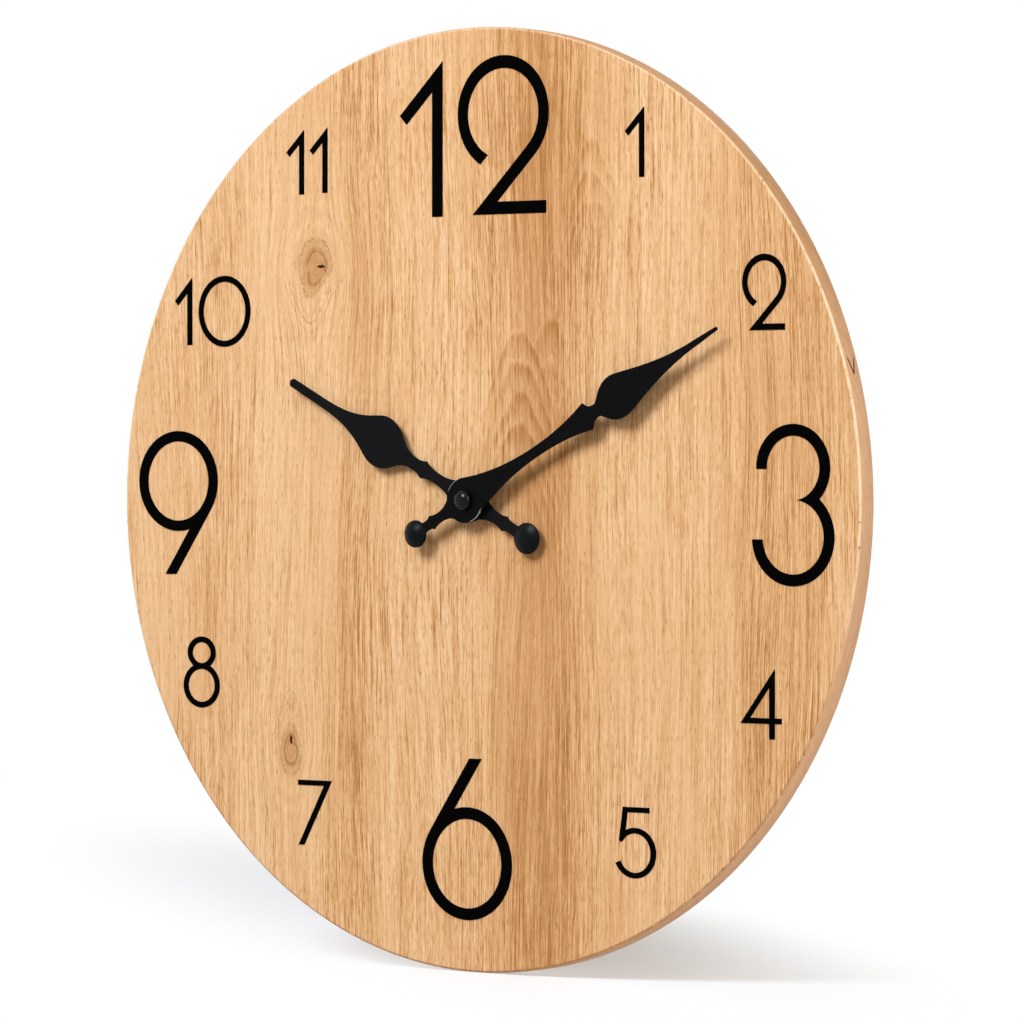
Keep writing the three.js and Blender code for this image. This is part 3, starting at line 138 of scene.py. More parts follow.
# Floor: half its width in metres, how pale it looks, its own glow and the light that it throws
# back. The shadow on it fades to white over an oval, whose middle and half axes are in metres, and
# whose fade starts and ends at shares of them.
FLOOR_Z = SHAFT_Z - PANEL_RADIUS
FLOOR_HALF = 14.0
FLOOR_PALE = (0.82, 0.835, 0.858)
FLOOR_GLOW = 0.105
FLOOR_DIM = (0.3, 0.275, 0.245)
SHADOW_MIDDLE = (-0.169, 0.163)
SHADOW_REACH = (0.595, 0.113)
SHADOW_TURN = math.radians(-37.0)
SHADOW_FADE = (0.185, 1.0)
WORLD_LIGHT = 0.17
WORLD_COLOUR = (1.0, 0.84, 0.66)


# Meshes
def add_object(name, mesh):
    piece = bpy.data.objects.new(name, mesh)
    bpy.context.scene.collection.objects.link(piece)
    return piece


def as_mesh(name, body):
    mesh = bpy.data.meshes.new(name)
    body.to_mesh(mesh)
    body.free()
    return mesh


def placed(x, y, z):
    """A point given from the middle of the panel, in metres in the part's frame."""
    return Vector((x * MM, y * MM, (z + SHAFT_Z) * MM))


def turn(point, degrees):
    """Turns a point of X and Z clockwise about the shaft, as the front sees it."""
    x, z = point
    angle = math.radians(degrees)
    return (
        x * math.cos(angle) + z * math.sin(angle),
        z * math.cos(angle) - x * math.sin(angle),
    )


def finish_edges(body, crease=35.0):
    """Smooth shading but on flat fronts and backs, creased at more than the given degrees."""
    bmesh.ops.remove_doubles(body, verts=body.verts, dist=1e-7)
    bmesh.ops.recalc_face_normals(body, faces=body.faces)
    for face in body.faces:
        face.smooth = abs(face.normal.y) < FLAT
    for edge in body.edges:
        if len(edge.link_faces) == 2 and edge.calc_face_angle(0.0) > math.radians(crease):
            edge.smooth = False


def lathe(name, profile, segments, centre=(0.0, 0.0), closed=False):
    """A round piece about a line along Y, from points of radius and Y."""
    body = bmesh.new()
    rings = []
    for radius, y in profile:
        if radius == 0:
            rings.append([body.verts.new(placed(centre[0], y, centre[1]))])
            continue
        ring = []
        for step in range(segments):
            angle = 2 * math.pi * step / segments
            x = centre[0] + radius * math.cos(angle)
            z = centre[1] + radius * math.sin(angle)
            ring.append(body.verts.new(placed(x, y, z)))
        rings.append(ring)
    pairs = list(zip(rings, rings[1:]))
    if closed:
        pairs.append((rings[-1], rings[0]))
    for first, second in pairs:
        for step in range(segments):
            ahead = (step + 1) % segments
            corners = [first[step % len(first)], first[ahead % len(first)],
                       second[ahead % len(second)], second[step % len(second)]]
            body.faces.new(list(dict.fromkeys(corners)))
    finish_edges(body)
    return add_object(name, as_mesh(name, body))


def round_edge(centre, radius, start, end, steps):
    """Points of a profile's rounded edge. The angles are degrees from outwards to the rear."""
    points = []
    for step in range(steps + 1):
        angle = math.radians(start + (end - start) * step / steps)
        points.append((centre[0] + radius * math.cos(angle), centre[1] + radius * math.sin(angle)))
    return points


def arc(centre, radius_x, radius_z, start, end, steps=48):
    points = []
    for step in range(steps + 1):
        angle = start + (end - start) * step / steps
        points.append((
            centre[0] + radius_x * math.cos(angle),
            centre[1] + radius_z * math.sin(angle),
        ))
    return points


def oval(centre, radius_x, radius_z, steps=96):
    return arc(centre, radius_x, radius_z, 0, 2 * math.pi * (1 - 1 / steps), steps - 1)


def circle(centre, radius, steps):
    return oval(centre, radius, radius, steps)


def rectangle(left, right, bottom, top):
    return [(left, bottom), (right, bottom), (right, top), (left, top)]


def rounded_box(left, right, bottom, top, radius):
    points = []
    for x, z, start in ((right - radius, bottom + radius, -90), (right - radius, top - radius, 0),
                        (left + radius, top - radius, 90), (left + radius, bottom + radius, 180)):
        points += arc((x, z), radius, radius, math.radians(start), math.radians(start + 90), 10)
    return points


def bezier(first, *others, steps=14):
    """A curve of one or two pulls from the first point, which it leaves out, to the last."""
    points = (first, *others)
    degree = len(points) - 1
    curve = []
    for step in range(1, steps + 1):
        share = step / steps
        weights = [
            math.comb(degree, index) * share ** index * (1 - share) ** (degree - index)
            for index in range(degree + 1)
        ]
        curve.append(tuple(
            sum(weight * point[axis] for weight, point in zip(weights, points))
            for axis in (0, 1)
        ))
    return curve


def flat_faces(solids, holes):
    """The area inside any solid outline and outside every hole, as corners and triangles."""
    corners = []
    outlines = []
    for outline in (*solids, *holes):
        outlines.append(list(range(len(corners), len(corners) + len(outline))))
        corners.extend(Vector(point) for point in outline)
    found, _, faces, _, _, sources = delaunay_2d_cdt(corners, [], outlines, 0, 1e-5)
    kept = []
    for face, source in zip(faces, sources):
        in_solid = any(index < len(solids) for index in source)
        in_hole = any(index >= len(solids) for index in source)
        if in_solid and not in_hole:
            kept.append(face)
    return found, kept


def flat_piece(name, solids, holes, front, rear, edge=0.0, place=lambda point: point,
               both_sides=False):
    """A plate from its outlines in X and Z, with the edges of its front or both sides rounded."""
    corners, faces = flat_faces(solids, holes)
    body = bmesh.new()
    verts = {}
    for corner in sorted({corner for face in faces for corner in face}):
        x, z = place(corners[corner])
        verts[corner] = body.verts.new(placed(x, rear, z))
    for face in faces:
        body.faces.new([verts[corner] for corner in face])
    bmesh.ops.dissolve_limit(body, angle_limit=math.radians(0.5), verts=body.verts,
                             edges=body.edges)
    rear_faces = list(body.faces)
    front_side = bmesh.ops.extrude_face_region(body, geom=rear_faces, use_keep_orig=True)
    front_verts = [item for item in front_side["geom"] if isinstance(item, bmesh.types.BMVert)]
    bmesh.ops.translate(body, vec=(0, (front - rear) * MM, 0), verts=front_verts)
    bmesh.ops.recalc_face_normals(body, faces=body.faces)
    if edge:
        sides = (front, rear) if both_sides else (front,)
        rim = [
            item for item in body.edges
            if any(all(abs(vert.co.y - side * MM) < 1e-6 for vert in item.verts) for side in sides)
            and len(item.link_faces) == 2 and item.calc_face_angle(0.0) > math.radians(60)
        ]
        bmesh.ops.bevel(body, geom=rim, offset=edge * MM, segments=2, profile=0.5,
                        affect="EDGES", clamp_overlap=True)
    finish_edges(body, crease=40)
    return add_object(name, as_mesh(name, body))


def evaluated_mesh(piece):
    return bpy.data.meshes.new_from_object(
        piece.evaluated_get(bpy.context.evaluated_depsgraph_get())
    )


def joined(name, piece, *others, operation="UNION"):
    """Closed pieces made one, or the others cut out of the first, or what they share."""
    for other in others:
        modifier = piece.modifiers.new("join", "BOOLEAN")
        modifier.operation = operation
        modifier.solver = "EXACT"
        modifier.object = other
        body = bmesh.new()
        body.from_mesh(evaluated_mesh(piece))
        for used in (piece, other):
            bpy.data.objects.remove(used)
        finish_edges(body, crease=40)
        piece = add_object(name, as_mesh(name, body))
    return piece


# Nodes of materials, of the world and of what is repeated
def feed(tree, socket, value):
    """Links a field, a node's first output or a socket, or sets a number or a colour."""
    if isinstance(value, Field):
        value = value.socket
    elif isinstance(value, bpy.types.Node):
        value = value.outputs[0]
    if isinstance(value, bpy.types.NodeSocket):
        tree.links.new(value, socket)
    elif socket.type == "RGBA":
        socket.default_value = (*value, 1.0)
    else:
        socket.default_value = value


def add_node(tree, kind, inputs=(), **settings):
    """A node with its settings. Its inputs are given by name or by number."""
    node = tree.nodes.new(kind)
    for key, value in settings.items():
        setattr(node, key, value)
    for key, value in dict(inputs).items():
        feed(tree, node.inputs[key], value)
    return node


def repeated(name, unit, material, count, turn_each=0.0, move_each=(0, 0, 0), middle=(0, 0, 0)):
    """Copies of a unit made by geometry nodes, each one turned about Y and moved on by a step."""
    tree = bpy.data.node_groups.new(name, "GeometryNodeTree")
    sockets = {}
    for label, kind in (
        ("Unit", "NodeSocketGeometry"), ("Count", "NodeSocketInt"),
        ("Turn each", "NodeSocketFloat"), ("Move each", "NodeSocketVector"),
        ("Middle", "NodeSocketVector"), ("Material", "NodeSocketMaterial"),
    ):
        sockets[label] = tree.interface.new_socket(name=label, in_out="INPUT", socket_type=kind)
    tree.interface.new_socket(name="Copies", in_out="OUTPUT", socket_type="NodeSocketGeometry")
    given = add_node(tree, "NodeGroupInput").outputs
    index = add_node(tree, "GeometryNodeInputIndex")
    points = add_node(tree, "GeometryNodePoints", {"Count": given["Count"]})
    step = add_node(tree, "ShaderNodeVectorMath", {0: given["Move each"], "Scale": index},
                    operation="SCALE")
    place = add_node(tree, "ShaderNodeVectorMath", {0: step, 1: given["Middle"]}, operation="ADD")
    moved = add_node(tree, "GeometryNodeSetPosition", {"Geometry": points, "Position": place})
    angle = add_node(tree, "ShaderNodeMath", {0: index, 1: given["Turn each"]},
                     operation="MULTIPLY")
    axes = add_node(tree, "ShaderNodeCombineXYZ", {"Y": angle})
    rotation = add_node(tree, "FunctionNodeEulerToRotation", {"Euler": axes})
    copies = add_node(tree, "GeometryNodeInstanceOnPoints",
                      {"Points": moved, "Instance": given["Unit"], "Rotation": rotation})
    real = add_node(tree, "GeometryNodeRealizeInstances", {"Geometry": copies})
    painted = add_node(tree, "GeometryNodeSetMaterial",
                       {"Geometry": real, "Material": given["Material"]})
    add_node(tree, "NodeGroupOutput", {0: painted})

    modifier = unit.modifiers.new("repeat", "NODES")
    modifier.node_group = tree
    for label, value in (("Count", count), ("Turn each", turn_each), ("Move each", move_each),
                         ("Middle", middle), ("Material", material)):
        modifier[sockets[label].identifier] = value
    mesh = evaluated_mesh(unit)
    bpy.data.objects.remove(unit)
    mesh.name = name
    return add_object(name, mesh)


# Finishes
class Field:
    """A number that varies over a surface. Arithmetic on fields adds nodes to the finish."""

    def __init__(self, finish, socket):
        self.finish = finish
        self.socket = socket

    def math(self, operation, *others):
        inputs = enumerate((self, *others))
        node = add_node(self.finish.tree, "ShaderNodeMath", inputs, operation=operation)
        return Field(self.finish, node.outputs[0])

    def __add__(self, other):
        return self.math("ADD", other)

    def __sub__(self, other):
        return self.math("SUBTRACT", other)

    def __mul__(self, other):
        return self.math("MULTIPLY", other)

    def __truediv__(self, other):
        return self.math("DIVIDE", other)

    def __neg__(self):
        return self * -1.0

    def between(self, low, high, first=0.0, last=1.0):
        """Goes smoothly from first to last as the field goes from low to high."""
        inputs = {"Value": self, "From Min": low, "From Max": high, "To Min": first,
                  "To Max": last}
        node = add_node(self.finish.tree, "ShaderNodeMapRange", inputs,
                        interpolation_type="SMOOTHSTEP")
        return Field(self.finish, node.outputs["Result"])

    def fades(self, low, high):
        """Goes smoothly from 1 to 0 as the field goes from low to high."""
        return self.between(low, high, 1.0, 0.0)

    def band(self, low, rise, fall, high):
        """Goes smoothly from 0 to 1 from low to rise, and back to 0 from fall to high."""
        return self.between(low, rise) * self.fades(fall, high)


class Finish:
    """One procedural material. Places are millimetres from the middle of the panel."""

    def __init__(self, name, metallic=0.0, specular=0.5):
        self.material = bpy.data.materials.new(name)
        self.material.use_nodes = True
        self.tree = self.material.node_tree
        self.shader = self.tree.nodes["Principled BSDF"]
        self.shader.inputs["Metallic"].default_value = metallic
        self.shader.inputs["Specular IOR Level"].default_value = specular
        coordinates = add_node(self.tree, "ShaderNodeTexCoord")
        place = add_node(self.tree, "ShaderNodeMapping", {
            "Vector": coordinates.outputs["Object"], "Location": (0, 0, -SHAFT_Z),
            "Scale": (1 / MM,) * 3,
        })
        parts = add_node(self.tree, "ShaderNodeSeparateXYZ", {0: place})
        self.x, self.y, self.z = (Field(self, output) for output in parts.outputs)

    def radius(self):
        """The distance from the line of the hands' shaft."""
        return (self.x * self.x + self.z * self.z).math("SQRT")

    def noise(self, *sizes, detail=2.0, roughness=0.5, x=None, z=None, seed=0.0):
        """Noise from 0 to 1, of one size, or of a size along each of X, Y and Z."""
        fields = (self.x if x is None else x, self.y, self.z if z is None else z)
        sizes = sizes * 3 if len(sizes) == 1 else sizes
        scaled = [field / size for field, size in zip(fields, sizes)]
        place = add_node(self.tree, "ShaderNodeCombineXYZ", enumerate(scaled))
        node = add_node(self.tree, "ShaderNodeTexNoise", {
            "Vector": place, "W": seed, "Scale": 1.0, "Detail": detail, "Roughness": roughness,
        }, noise_dimensions="4D")
        return Field(self, node.outputs["Fac"])

    def mix(self, share, first, second):
        # Input 0 of a mix node is the share, and inputs 6 and 7 are its two colours.
        node = add_node(self.tree, "ShaderNodeMix", data_type="RGBA")
        for index, value in ((0, share), (6, first), (7, second)):
            feed(self.tree, node.inputs[index], value)
        return node.outputs[2]

    def tint(self, colour, field):
        """The colour made lighter or darker by a field around 1."""
        return add_node(self.tree, "ShaderNodeVectorMath", {0: colour, "Scale": field},
                        operation="SCALE")

    def ramp(self, field, stops):
        """Colours, or numbers as greys, at places from 0 to 1, with straight runs between."""
        node = add_node(self.tree, "ShaderNodeValToRGB", {0: field})
        elements = node.color_ramp.elements
        for index, (position, value) in enumerate(stops):
            element = elements[index] if index < 2 else elements.new(position)
            element.position = position
            element.color = (*value, 1.0) if isinstance(value, tuple) else (value,) * 3 + (1.0,)
        return node.outputs["Color"]

    def closed(self, colour, roughness, height, depth, strength=1.0):
        """Feeds the shader. Where the height is 1, the surface is raised by depth millimetres."""
        raised = add_node(self.tree, "ShaderNodeBump", {
            "Height": height, "Distance": depth * MM, "Strength": strength,
        })
        for key, value in (("Base Color", colour), ("Roughness", roughness),
                           ("Normal", raised.outputs["Normal"])):
            feed(self.tree, self.shader.inputs[key], value)
        return self


def srgb(red, green, blue):
    """A colour written as it is seen, 0 to 255, as the shader takes it."""
    return tuple(
        (value / 255 / 12.92) if value <= 10 else ((value / 255 + 0.055) / 1.055) ** 2.4
        for value in (red, green, blue)
    )


def set_finish(piece, finish):
    piece.data.materials.clear()
    piece.data.materials.append(finish.material)


# Oak. The grain runs up the panel. It parts round each knot, whose rings are drawn out to a tip on
# one side, and the growth lines close to arches at some places. A knot's outer rings lie about its
# axis, and its inner ones about its eye, with the half widths and heights of a crack and a stain.
KNOTS = (
    {"x": -66.8, "z": 75.0, "wide": 7.2, "tall": 9.6, "tip": -1, "axis": -69.0,
     "eye": (-64.2, 75.5), "crack": (1.9, 0.55), "stain": (3.4, 3.0)},
    {"x": -77.3, "z": -81.6, "wide": 4.8, "tall": 8.6, "tip": 1, "axis": -77.6,
     "eye": (-77.2, -78.4), "crack": (0.6, 1.5), "stain": (2.4, 2.6)},
)
# Rings of a knot: how far out each lies, as a share of the knot's reach, and how dark it is
KNOT_RINGS = (
    (0.0, 0.2), (0.08, 0.1), (0.11, 0.5), (0.14, 0.15), (0.17, 0.4), (0.195, 0.2),
    (0.235, 1.0), (0.27, 0.45), (0.33, 0.15), (0.37, 0.45), (0.42, 0.9), (0.44, 0.15),
    (0.50, 0.05), (0.53, 0.3), (0.54, 0.0), (0.60, 0.0), (0.67, 0.5), (0.68, 0.0), (0.74, 0.05),
    (0.785, 0.9), (0.80, 0.0), (0.89, 0.05), (0.93, 0.8), (0.945, 0.0),
)
KNOT_REACH = 2.4
# Arches: the top of the first, its half width, how flat it is, the step to the next one below, how
# far down they reach, and how strongly they are drawn
ARCHES = (
    {"x": 18.0, "z": 54.0, "wide": 17.0, "curve": 8.0, "step": 9.5, "reach": 66.0, "drawn": 0.8},
    {"x": 30.5, "z": 58.0, "wide": 7.0, "curve": 6.0, "step": 13.0, "reach": 20.0, "drawn": 0.8},
    {"x": 47.0, "z": 113.0, "wide": 11.0, "curve": 6.0, "step": 9.0, "reach": 30.0, "drawn": 0.7},
    {"x": -19.0, "z": -92.0, "wide": 12.0, "curve": 5.0, "step": 9.0, "reach": 52.0,
     "drawn": 0.6},
    {"x": 62.0, "z": -12.0, "wide": 12.0, "curve": 5.0, "step": 10.0, "reach": 46.0,
     "drawn": 0.5},
    {"x": -30.0, "z": 132.0, "wide": 10.0, "curve": 4.0, "step": 9.0, "reach": 40.0,
     "drawn": 0.5},
)
# Bands of darker or paler wood, and two patches that darken the middle of the panel towards its
# bottom and top
TONE_BANDS = (
    {"x": -111.0, "wide": 9.0, "tone": -0.05},
    {"x": -84.0, "wide": 12.0, "tone": 0.03},
    {"x": -47.0, "wide": 10.0, "tone": -0.08},
    {"x": -18.0, "wide": 12.0, "tone": 0.01},
    {"x": 26.0, "wide": 21.0, "tone": -0.155},
    {"x": 72.0, "wide": 16.0, "tone": 0.0},
    {"x": 110.0, "wide": 13.0, "tone": -0.085},
    {"x": 132.0, "wide": 14.0, "tone": -0.09},
    {"x": 12.0, "z": -118.0, "wide": 46.0, "tall": 40.0, "tone": -0.03},
    {"x": 16.0, "z": 112.0, "wide": 50.0, "tall": 34.0, "tone": -0.035},
)


def hump(x, z, place):
    """1 at the place, fading to 0 over its width and height."""
    across = (x - place["x"]) / place["wide"]
    if "tall" not in place:
        return (-(across * across)).math("EXPONENT")
    along = (z - place["z"]) / place["tall"]
    return (-(across * across + along * along)).math("EXPONENT")


def oak_grain(wood):
    """Places across the grain, in millimetres, and how far its lines wander."""
    wander = (wood.noise(70, 70, 260, detail=1.0, seed=3.0) - 0.5) * 26.0
    quiver = (wood.noise(8, 30, 34, seed=7.0) - 0.5) * 2.2
    grain = wood.x + wander + quiver
    for knot in KNOTS:
        parted = {"x": knot["x"], "z": knot["z"] + knot["tip"] * 3.0, "wide": knot["wide"] * 2.0,
                  "tall": knot["tall"] * 2.0}
        grain = grain - (wood.x - knot["x"]) * hump(wood.x, wood.z, parted) * 0.8
    return grain, wander


def arched(wood, arch):
    """Where an arch lies, and its growth lines: each pale at its edge and darker below it."""
    across = wood.x - arch["x"]
    curl = (wood.noise(8, 30, 15, detail=3.0, seed=8.0) - 0.5) * 13.0
    depth = -(wood.z + across * across / arch["curve"] + curl) + arch["z"]
    middle = {"x": arch["x"], "wide": arch["wide"]}
    lies = (depth.between(-0.8, 0.4) * depth.fades(arch["reach"] * 0.5, arch["reach"])
            * hump(wood.x, wood.z, middle))
    place = (depth / arch["step"]).math("FRACT")
    edge = place.fades(0.0, 0.16) + place.between(0.93, 1.0)
    below = place.band(0.1, 0.3, 0.35, 0.9)
    streaky = wood.noise(1.1, 60, 12, seed=14.0).between(0.3, 0.7, 0.2, 1.3)
    faded = wood.noise(12, 30, 10, detail=1.0, seed=18.0).between(0.3, 0.6, 0.25, 1.0)
    return lies, (edge * faded * 0.055 - below * streaky * 0.12) * lies * arch["drawn"]


def knot_reach(wood, knot):
    """0 at the heart of a knot, 1 on its main ring, more outside. Towards the tip it narrows."""
    towards = (wood.z - knot["z"]) * knot["tip"]
    outwards = towards.between(0.0, knot["tall"])
    narrow = towards.math("MAXIMUM", 0.0) * (0.6 / knot["tall"]) + 1.0
    across = (wood.x - knot["x"] + outwards * (knot["x"] - knot["axis"])) * narrow / knot["wide"]
    along = towards / knot["tall"]
    out = (across * across + along * along).math("SQRT").math("MINIMUM", 1.0)
    # The inner rings lie nearer to the eye than the outer ones.
    across = across - (-out + 1.0) * ((knot["eye"][0] - knot["x"]) / knot["wide"] * 0.6)
    wobble = (wood.noise(3.5, 20, 4.5, detail=3.0, seed=41.0) - 0.5) * 0.22
    return (across * across + along * along).math("SQRT") + wobble, towards


def oak_finish():
    wood = Finish("sealed_oak", specular=0.12)
    grain, wander = oak_grain(wood)
    reaches = [knot_reach(wood, knot) for knot in KNOTS]

    tone = wood.noise(34, 60, 110, seed=1.0) * 0.10 + 0.95
    for band in TONE_BANDS:
        tone = tone + hump(wood.x + wander * 0.35, wood.z, band) * band["tone"]
    streaks = (wood.noise(4.6, 60, 120, detail=3.0, roughness=0.6, x=grain, seed=2.0) - 0.5) * 0.26
    lines = (wood.noise(1.1, 60, 44, roughness=0.6, x=grain, seed=5.0) - 0.5) * 0.3
    threads = (wood.noise(0.38, 60, 24, detail=1.0, x=grain, seed=6.0) - 0.5) * 0.66
    fibres = (wood.noise(0.34, 60, 4.4, roughness=0.6, x=grain, seed=9.0) - 0.5) * 0.56
    # The darker the wood, the less its fibres differ. Some patches are crisp and some soft.
    even = tone.between(0.78, 0.94, 0.6, 1.0)
    crisp = wood.noise(16, 60, 48, seed=10.0).between(0.32, 0.68, 0.5, 1.25)
    for reach, _ in reaches:
        even = even * reach.between(0.7, 2.1, 0.3, 1.0)

    # Growth lines darken slowly and end at once.
    spacing = 2.6
    phase = (grain + (wood.noise(20, 60, 90, seed=12.0) - 0.5) * 6.0) / spacing
    ramped = phase.math("FRACT")
    ridge = ramped * ramped * ramped * ramped.fades(0.88, 1.0)
    patch = wood.noise(16, 60, 70, seed=15.0).between(0.42, 0.7)
    arches = [arched(wood, arch) for arch in ARCHES]
    for lies, _ in arches:
        even = even * (lies * -0.35 + 1.0)
    shade = tone + (streaks + lines + (threads + fibres) * crisp) * even - ridge * patch * 0.06
    for _, drawn in arches:
        shade = shade + drawn

    light = srgb(250, 208, 161)
    middle = srgb(228, 175, 119)
    dark = srgb(166, 102, 40)
    colour = wood.ramp(shade.between(0.62, 1.22), ((0.0, dark), (0.5, middle), (1.0, light)))

    # Pores: short dark dashes along the grain, thickest in the growth lines
    dash = wood.noise(0.26, 30, 3.0, detail=0.0, x=grain, seed=21.0)
    crowd = wood.noise(9, 60, 60, x=grain, seed=24.0) * 0.16
    pores = (dash + crowd + ramped * 0.05).between(0.72, 0.86)
    colour = wood.mix(pores * 0.5, colour, srgb(166, 104, 50))
    # Rays: short pale flecks that lean off the grain
    lean = wood.x - wood.z * 0.26
    fleck = wood.noise(0.6, 30, 8.0, detail=1.0, x=lean, seed=31.0).between(0.6, 0.76)
    rays = wood.noise(22, 60, 46, detail=1.0, seed=33.0).between(0.42, 0.62)
    colour = wood.mix(fleck * rays * 0.32, colour, srgb(250, 212, 163))

    for knot, (reach, towards) in zip(KNOTS, reaches):
        colour = knotted(wood, colour, knot, reach, towards)
    colour = turned_edge(wood, colour)
    # Back: bare wood, duller and greyer
    behind = wood.y.between(BACK_Y - 0.3, BACK_Y - 0.05)
    colour = wood.mix(behind * 0.4, colour, srgb(205, 172, 135))
    return wood.closed(colour, pores * 0.2 + fibres * 0.3 + 0.5 + behind * 0.2,
                       (threads + fibres) * 0.5 - pores, depth=0.02, strength=0.25)


def knotted(wood, colour, knot, reach, towards):
    """Thin rings round a knot, drawn out to its tip, and the dark crack in its eye."""
    eye_x, eye_z = knot["eye"]
    beyond = (wood.x - eye_x).between(-1.0, 5.0, 1.0, 0.35)
    colour = wood.mix(reach.between(0.55, 1.3, 0.6, 0.0) * beyond, colour, srgb(208, 152, 94))
    # Away from the tip, faint arcs of pale and darker wood lie round the knot.
    arcs = (reach * 9.0).math("SINE") * reach.band(1.0, 1.3, 2.0, 3.0) * towards.fades(-2.0, 4.0)
    colour = wood.tint(colour, arcs * 0.035 + 1.0)
    # Outside the main ring the lines are dotted, and show only towards the tip.
    rings = Field(wood, wood.ramp(reach / KNOT_REACH, KNOT_RINGS))
    dotted = wood.noise(0.8, 20, 0.8, seed=43.0).between(0.36, 0.58)
    outer = reach.between(0.7, 0.9)
    beside = reach.between(1.1, 1.4) * towards.fades(0.0, knot["tall"] * 0.7)
    broken = wood.noise(4.0, 20, 4.0, seed=47.0).between(0.34, 0.55, 0.4, 1.0)
    drawn = rings * (outer * (dotted - 1.0) + 1.0) * (-beside + 1.0) * broken
    colour = wood.mix(drawn * outer * 0.76, colour, srgb(166, 110, 60))
    colour = wood.mix(drawn * (-outer + 1.0) * 0.85, colour, srgb(164, 104, 52))
    stain = {"x": eye_x, "z": eye_z, "wide": knot["stain"][0], "tall": knot["stain"][1]}
    heart = hump(wood.x, wood.z, stain)
    colour = wood.mix(heart * 0.34, colour, srgb(176, 120, 70))
    # The crack is ragged, with a thin arm to the lower right.
    crack = {"x": eye_x, "z": eye_z, "wide": knot["crack"][0], "tall": knot["crack"][1]}
    bent = wood.z + (wood.x - eye_x) * (wood.x - eye_x) * 0.07
    ragged = (wood.noise(0.7, 20, 0.6, detail=3.0, seed=45.0) - 0.5) * 1.5
    split = (hump(wood.x, bent, crack) + ragged * heart).between(0.3, 0.55)
    down = wood.x - eye_x
    arm = ((wood.z - eye_z + down * 0.9).math("ABSOLUTE").fades(0.1, 0.4)
           * down.band(0.6, 1.2, 1.8, 3.0))
    colour = wood.mix(arm * 0.6, colour, srgb(120, 74, 40))
    return wood.mix(split, colour, srgb(48, 20, 6))


def turned_edge(wood, colour):
    """The rim: pinker wood cut across its layers, with painted light and shade by height, and a
    painted highlight and painted shade on its front lip.
    """
    radius = wood.radius()
    on_rim = radius.between(PANEL_RADIUS - 0.45, PANEL_RADIUS - 0.25)
    slant = wood.x * 0.5 + wood.z * 0.4 + wood.y * 1.6
    grain = (wood.noise(0.9, 3, 6, detail=3.0, roughness=0.6, x=slant, seed=51.0) - 0.5) * 0.8
    layer = wood.y.between(FACE_Y + 1.0, BACK_Y, 0.03, -0.07)
    # Painted light and shade: the cut face of the rim is brightened low down and darkened towards
    # the top, and its colour turns deeper towards the top.
    painted_light_by_height = wood.z.between(10, 110, 1.15, 0.68) * wood.z.between(-120, -20, 1.3, 1.0)
    cut = wood.mix(wood.z.between(20, 95), srgb(243, 194, 152), srgb(236, 176, 120))
    colour = wood.mix(on_rim, colour, wood.tint(cut, (grain + layer + 1.0) * painted_light_by_height))
    # A check in the wood, like an open V, on the right of the rim's upper half
    check_z = 39.0
    arms = (wood.y - (FACE_Y + BACK_Y) / 2).math("ABSOLUTE") - (wood.z - check_z) * 0.35
    mark = (arms.math("ABSOLUTE").fades(0.15, 0.55)
            * wood.z.band(check_z - 0.6, check_z, check_z + 3.5, check_z + 6.5))
    colour = wood.mix(on_rim * mark * wood.x.between(0, 10), colour, srgb(112, 66, 40))
    # Painted highlight along the front lip, in patches, strongest at middle heights and weaker
    # towards the top, and painted shade on the lip's lower part. The dark nicks are wear.
    lip = (radius.between(PANEL_RADIUS - 1.0, PANEL_RADIUS - 0.5)
           * wood.y.fades(FACE_Y + 0.3, FACE_Y + 0.6))
    patchy = wood.noise(2.2, 3, 2.2, detail=3.0, seed=55.0).between(0.3, 0.5)
    painted_highlight = wood.z.between(-70, 10) * wood.z.between(40, 120, 0.85, 0.3)
    colour = wood.mix(lip * patchy * painted_highlight, colour, srgb(255, 228, 192))
    nicks = wood.noise(1.6, 3, 1.6, detail=3.0, seed=58.0).between(0.6, 0.68)
    colour = wood.mix(lip * nicks * 0.7, colour, srgb(120, 78, 48))
    return wood.mix(lip * patchy * wood.z.fades(-90, -20) * 0.5, colour,
                    srgb(178, 122, 76))


def black_film_finish():
    film = Finish("black_film", specular=0.01)
    grain = film.noise(0.6, 0.6, 2.2, detail=3.0, seed=2.0)
    return film.closed(film.mix(grain, srgb(1, 1, 1), srgb(4, 4, 4)),
                       grain.between(0.2, 0.8, 0.6, 0.75), grain, depth=0.008)


def black_paint_finish():
    paint = Finish("satin_black_paint", specular=0.04)
    mottle = paint.noise(9, seed=3.0)
    peel = paint.noise(0.45, seed=4.0)
    nearer = paint.y.fades(HOUR_HAND_FRONT_Y - 1.2, HOUR_HAND_FRONT_Y - 1)
    colour = paint.mix(nearer, paint.mix(mottle, srgb(14, 14, 15), srgb(19, 19, 20)),
                       paint.mix(mottle, srgb(4, 4, 5), srgb(8, 8, 9)))
    # A painted highlight: a thin bright arc on the edge of the minute hand's hub, where it crosses
    # the hour hand.
    asides = []
    for degrees in (HOUR_HAND_ANGLE, MINUTE_HAND_ANGLE):
        angle = math.radians(degrees)
        asides.append((paint.x * math.cos(angle) - paint.z * math.sin(angle)).math("ABSOLUTE"))
    hub = MINUTE_HAND["hub"]
    painted_highlight = (paint.radius().band(hub - 0.16, hub - 0.1, hub + 0.1, hub + 0.2)
              * asides[0].fades(4.6, 5.4) * asides[1].between(5.2, 6.2) * nearer)
    return paint.closed(paint.mix(painted_highlight * 0.65, colour, srgb(206, 208, 210)),
                        mottle * 0.12 + peel * 0.1 + 0.36, peel, depth=0.006)


def black_ball_finish():
    ball = Finish("polished_black_ball", specular=0.07)
    mottle = ball.noise(5, seed=24.0)
    peel = ball.noise(0.5, seed=25.0)
    return ball.closed(ball.mix(mottle, srgb(5, 8, 10), srgb(10, 14, 17)),
                       mottle * 0.08 + peel * 0.06 + 0.26, peel, depth=0.004)


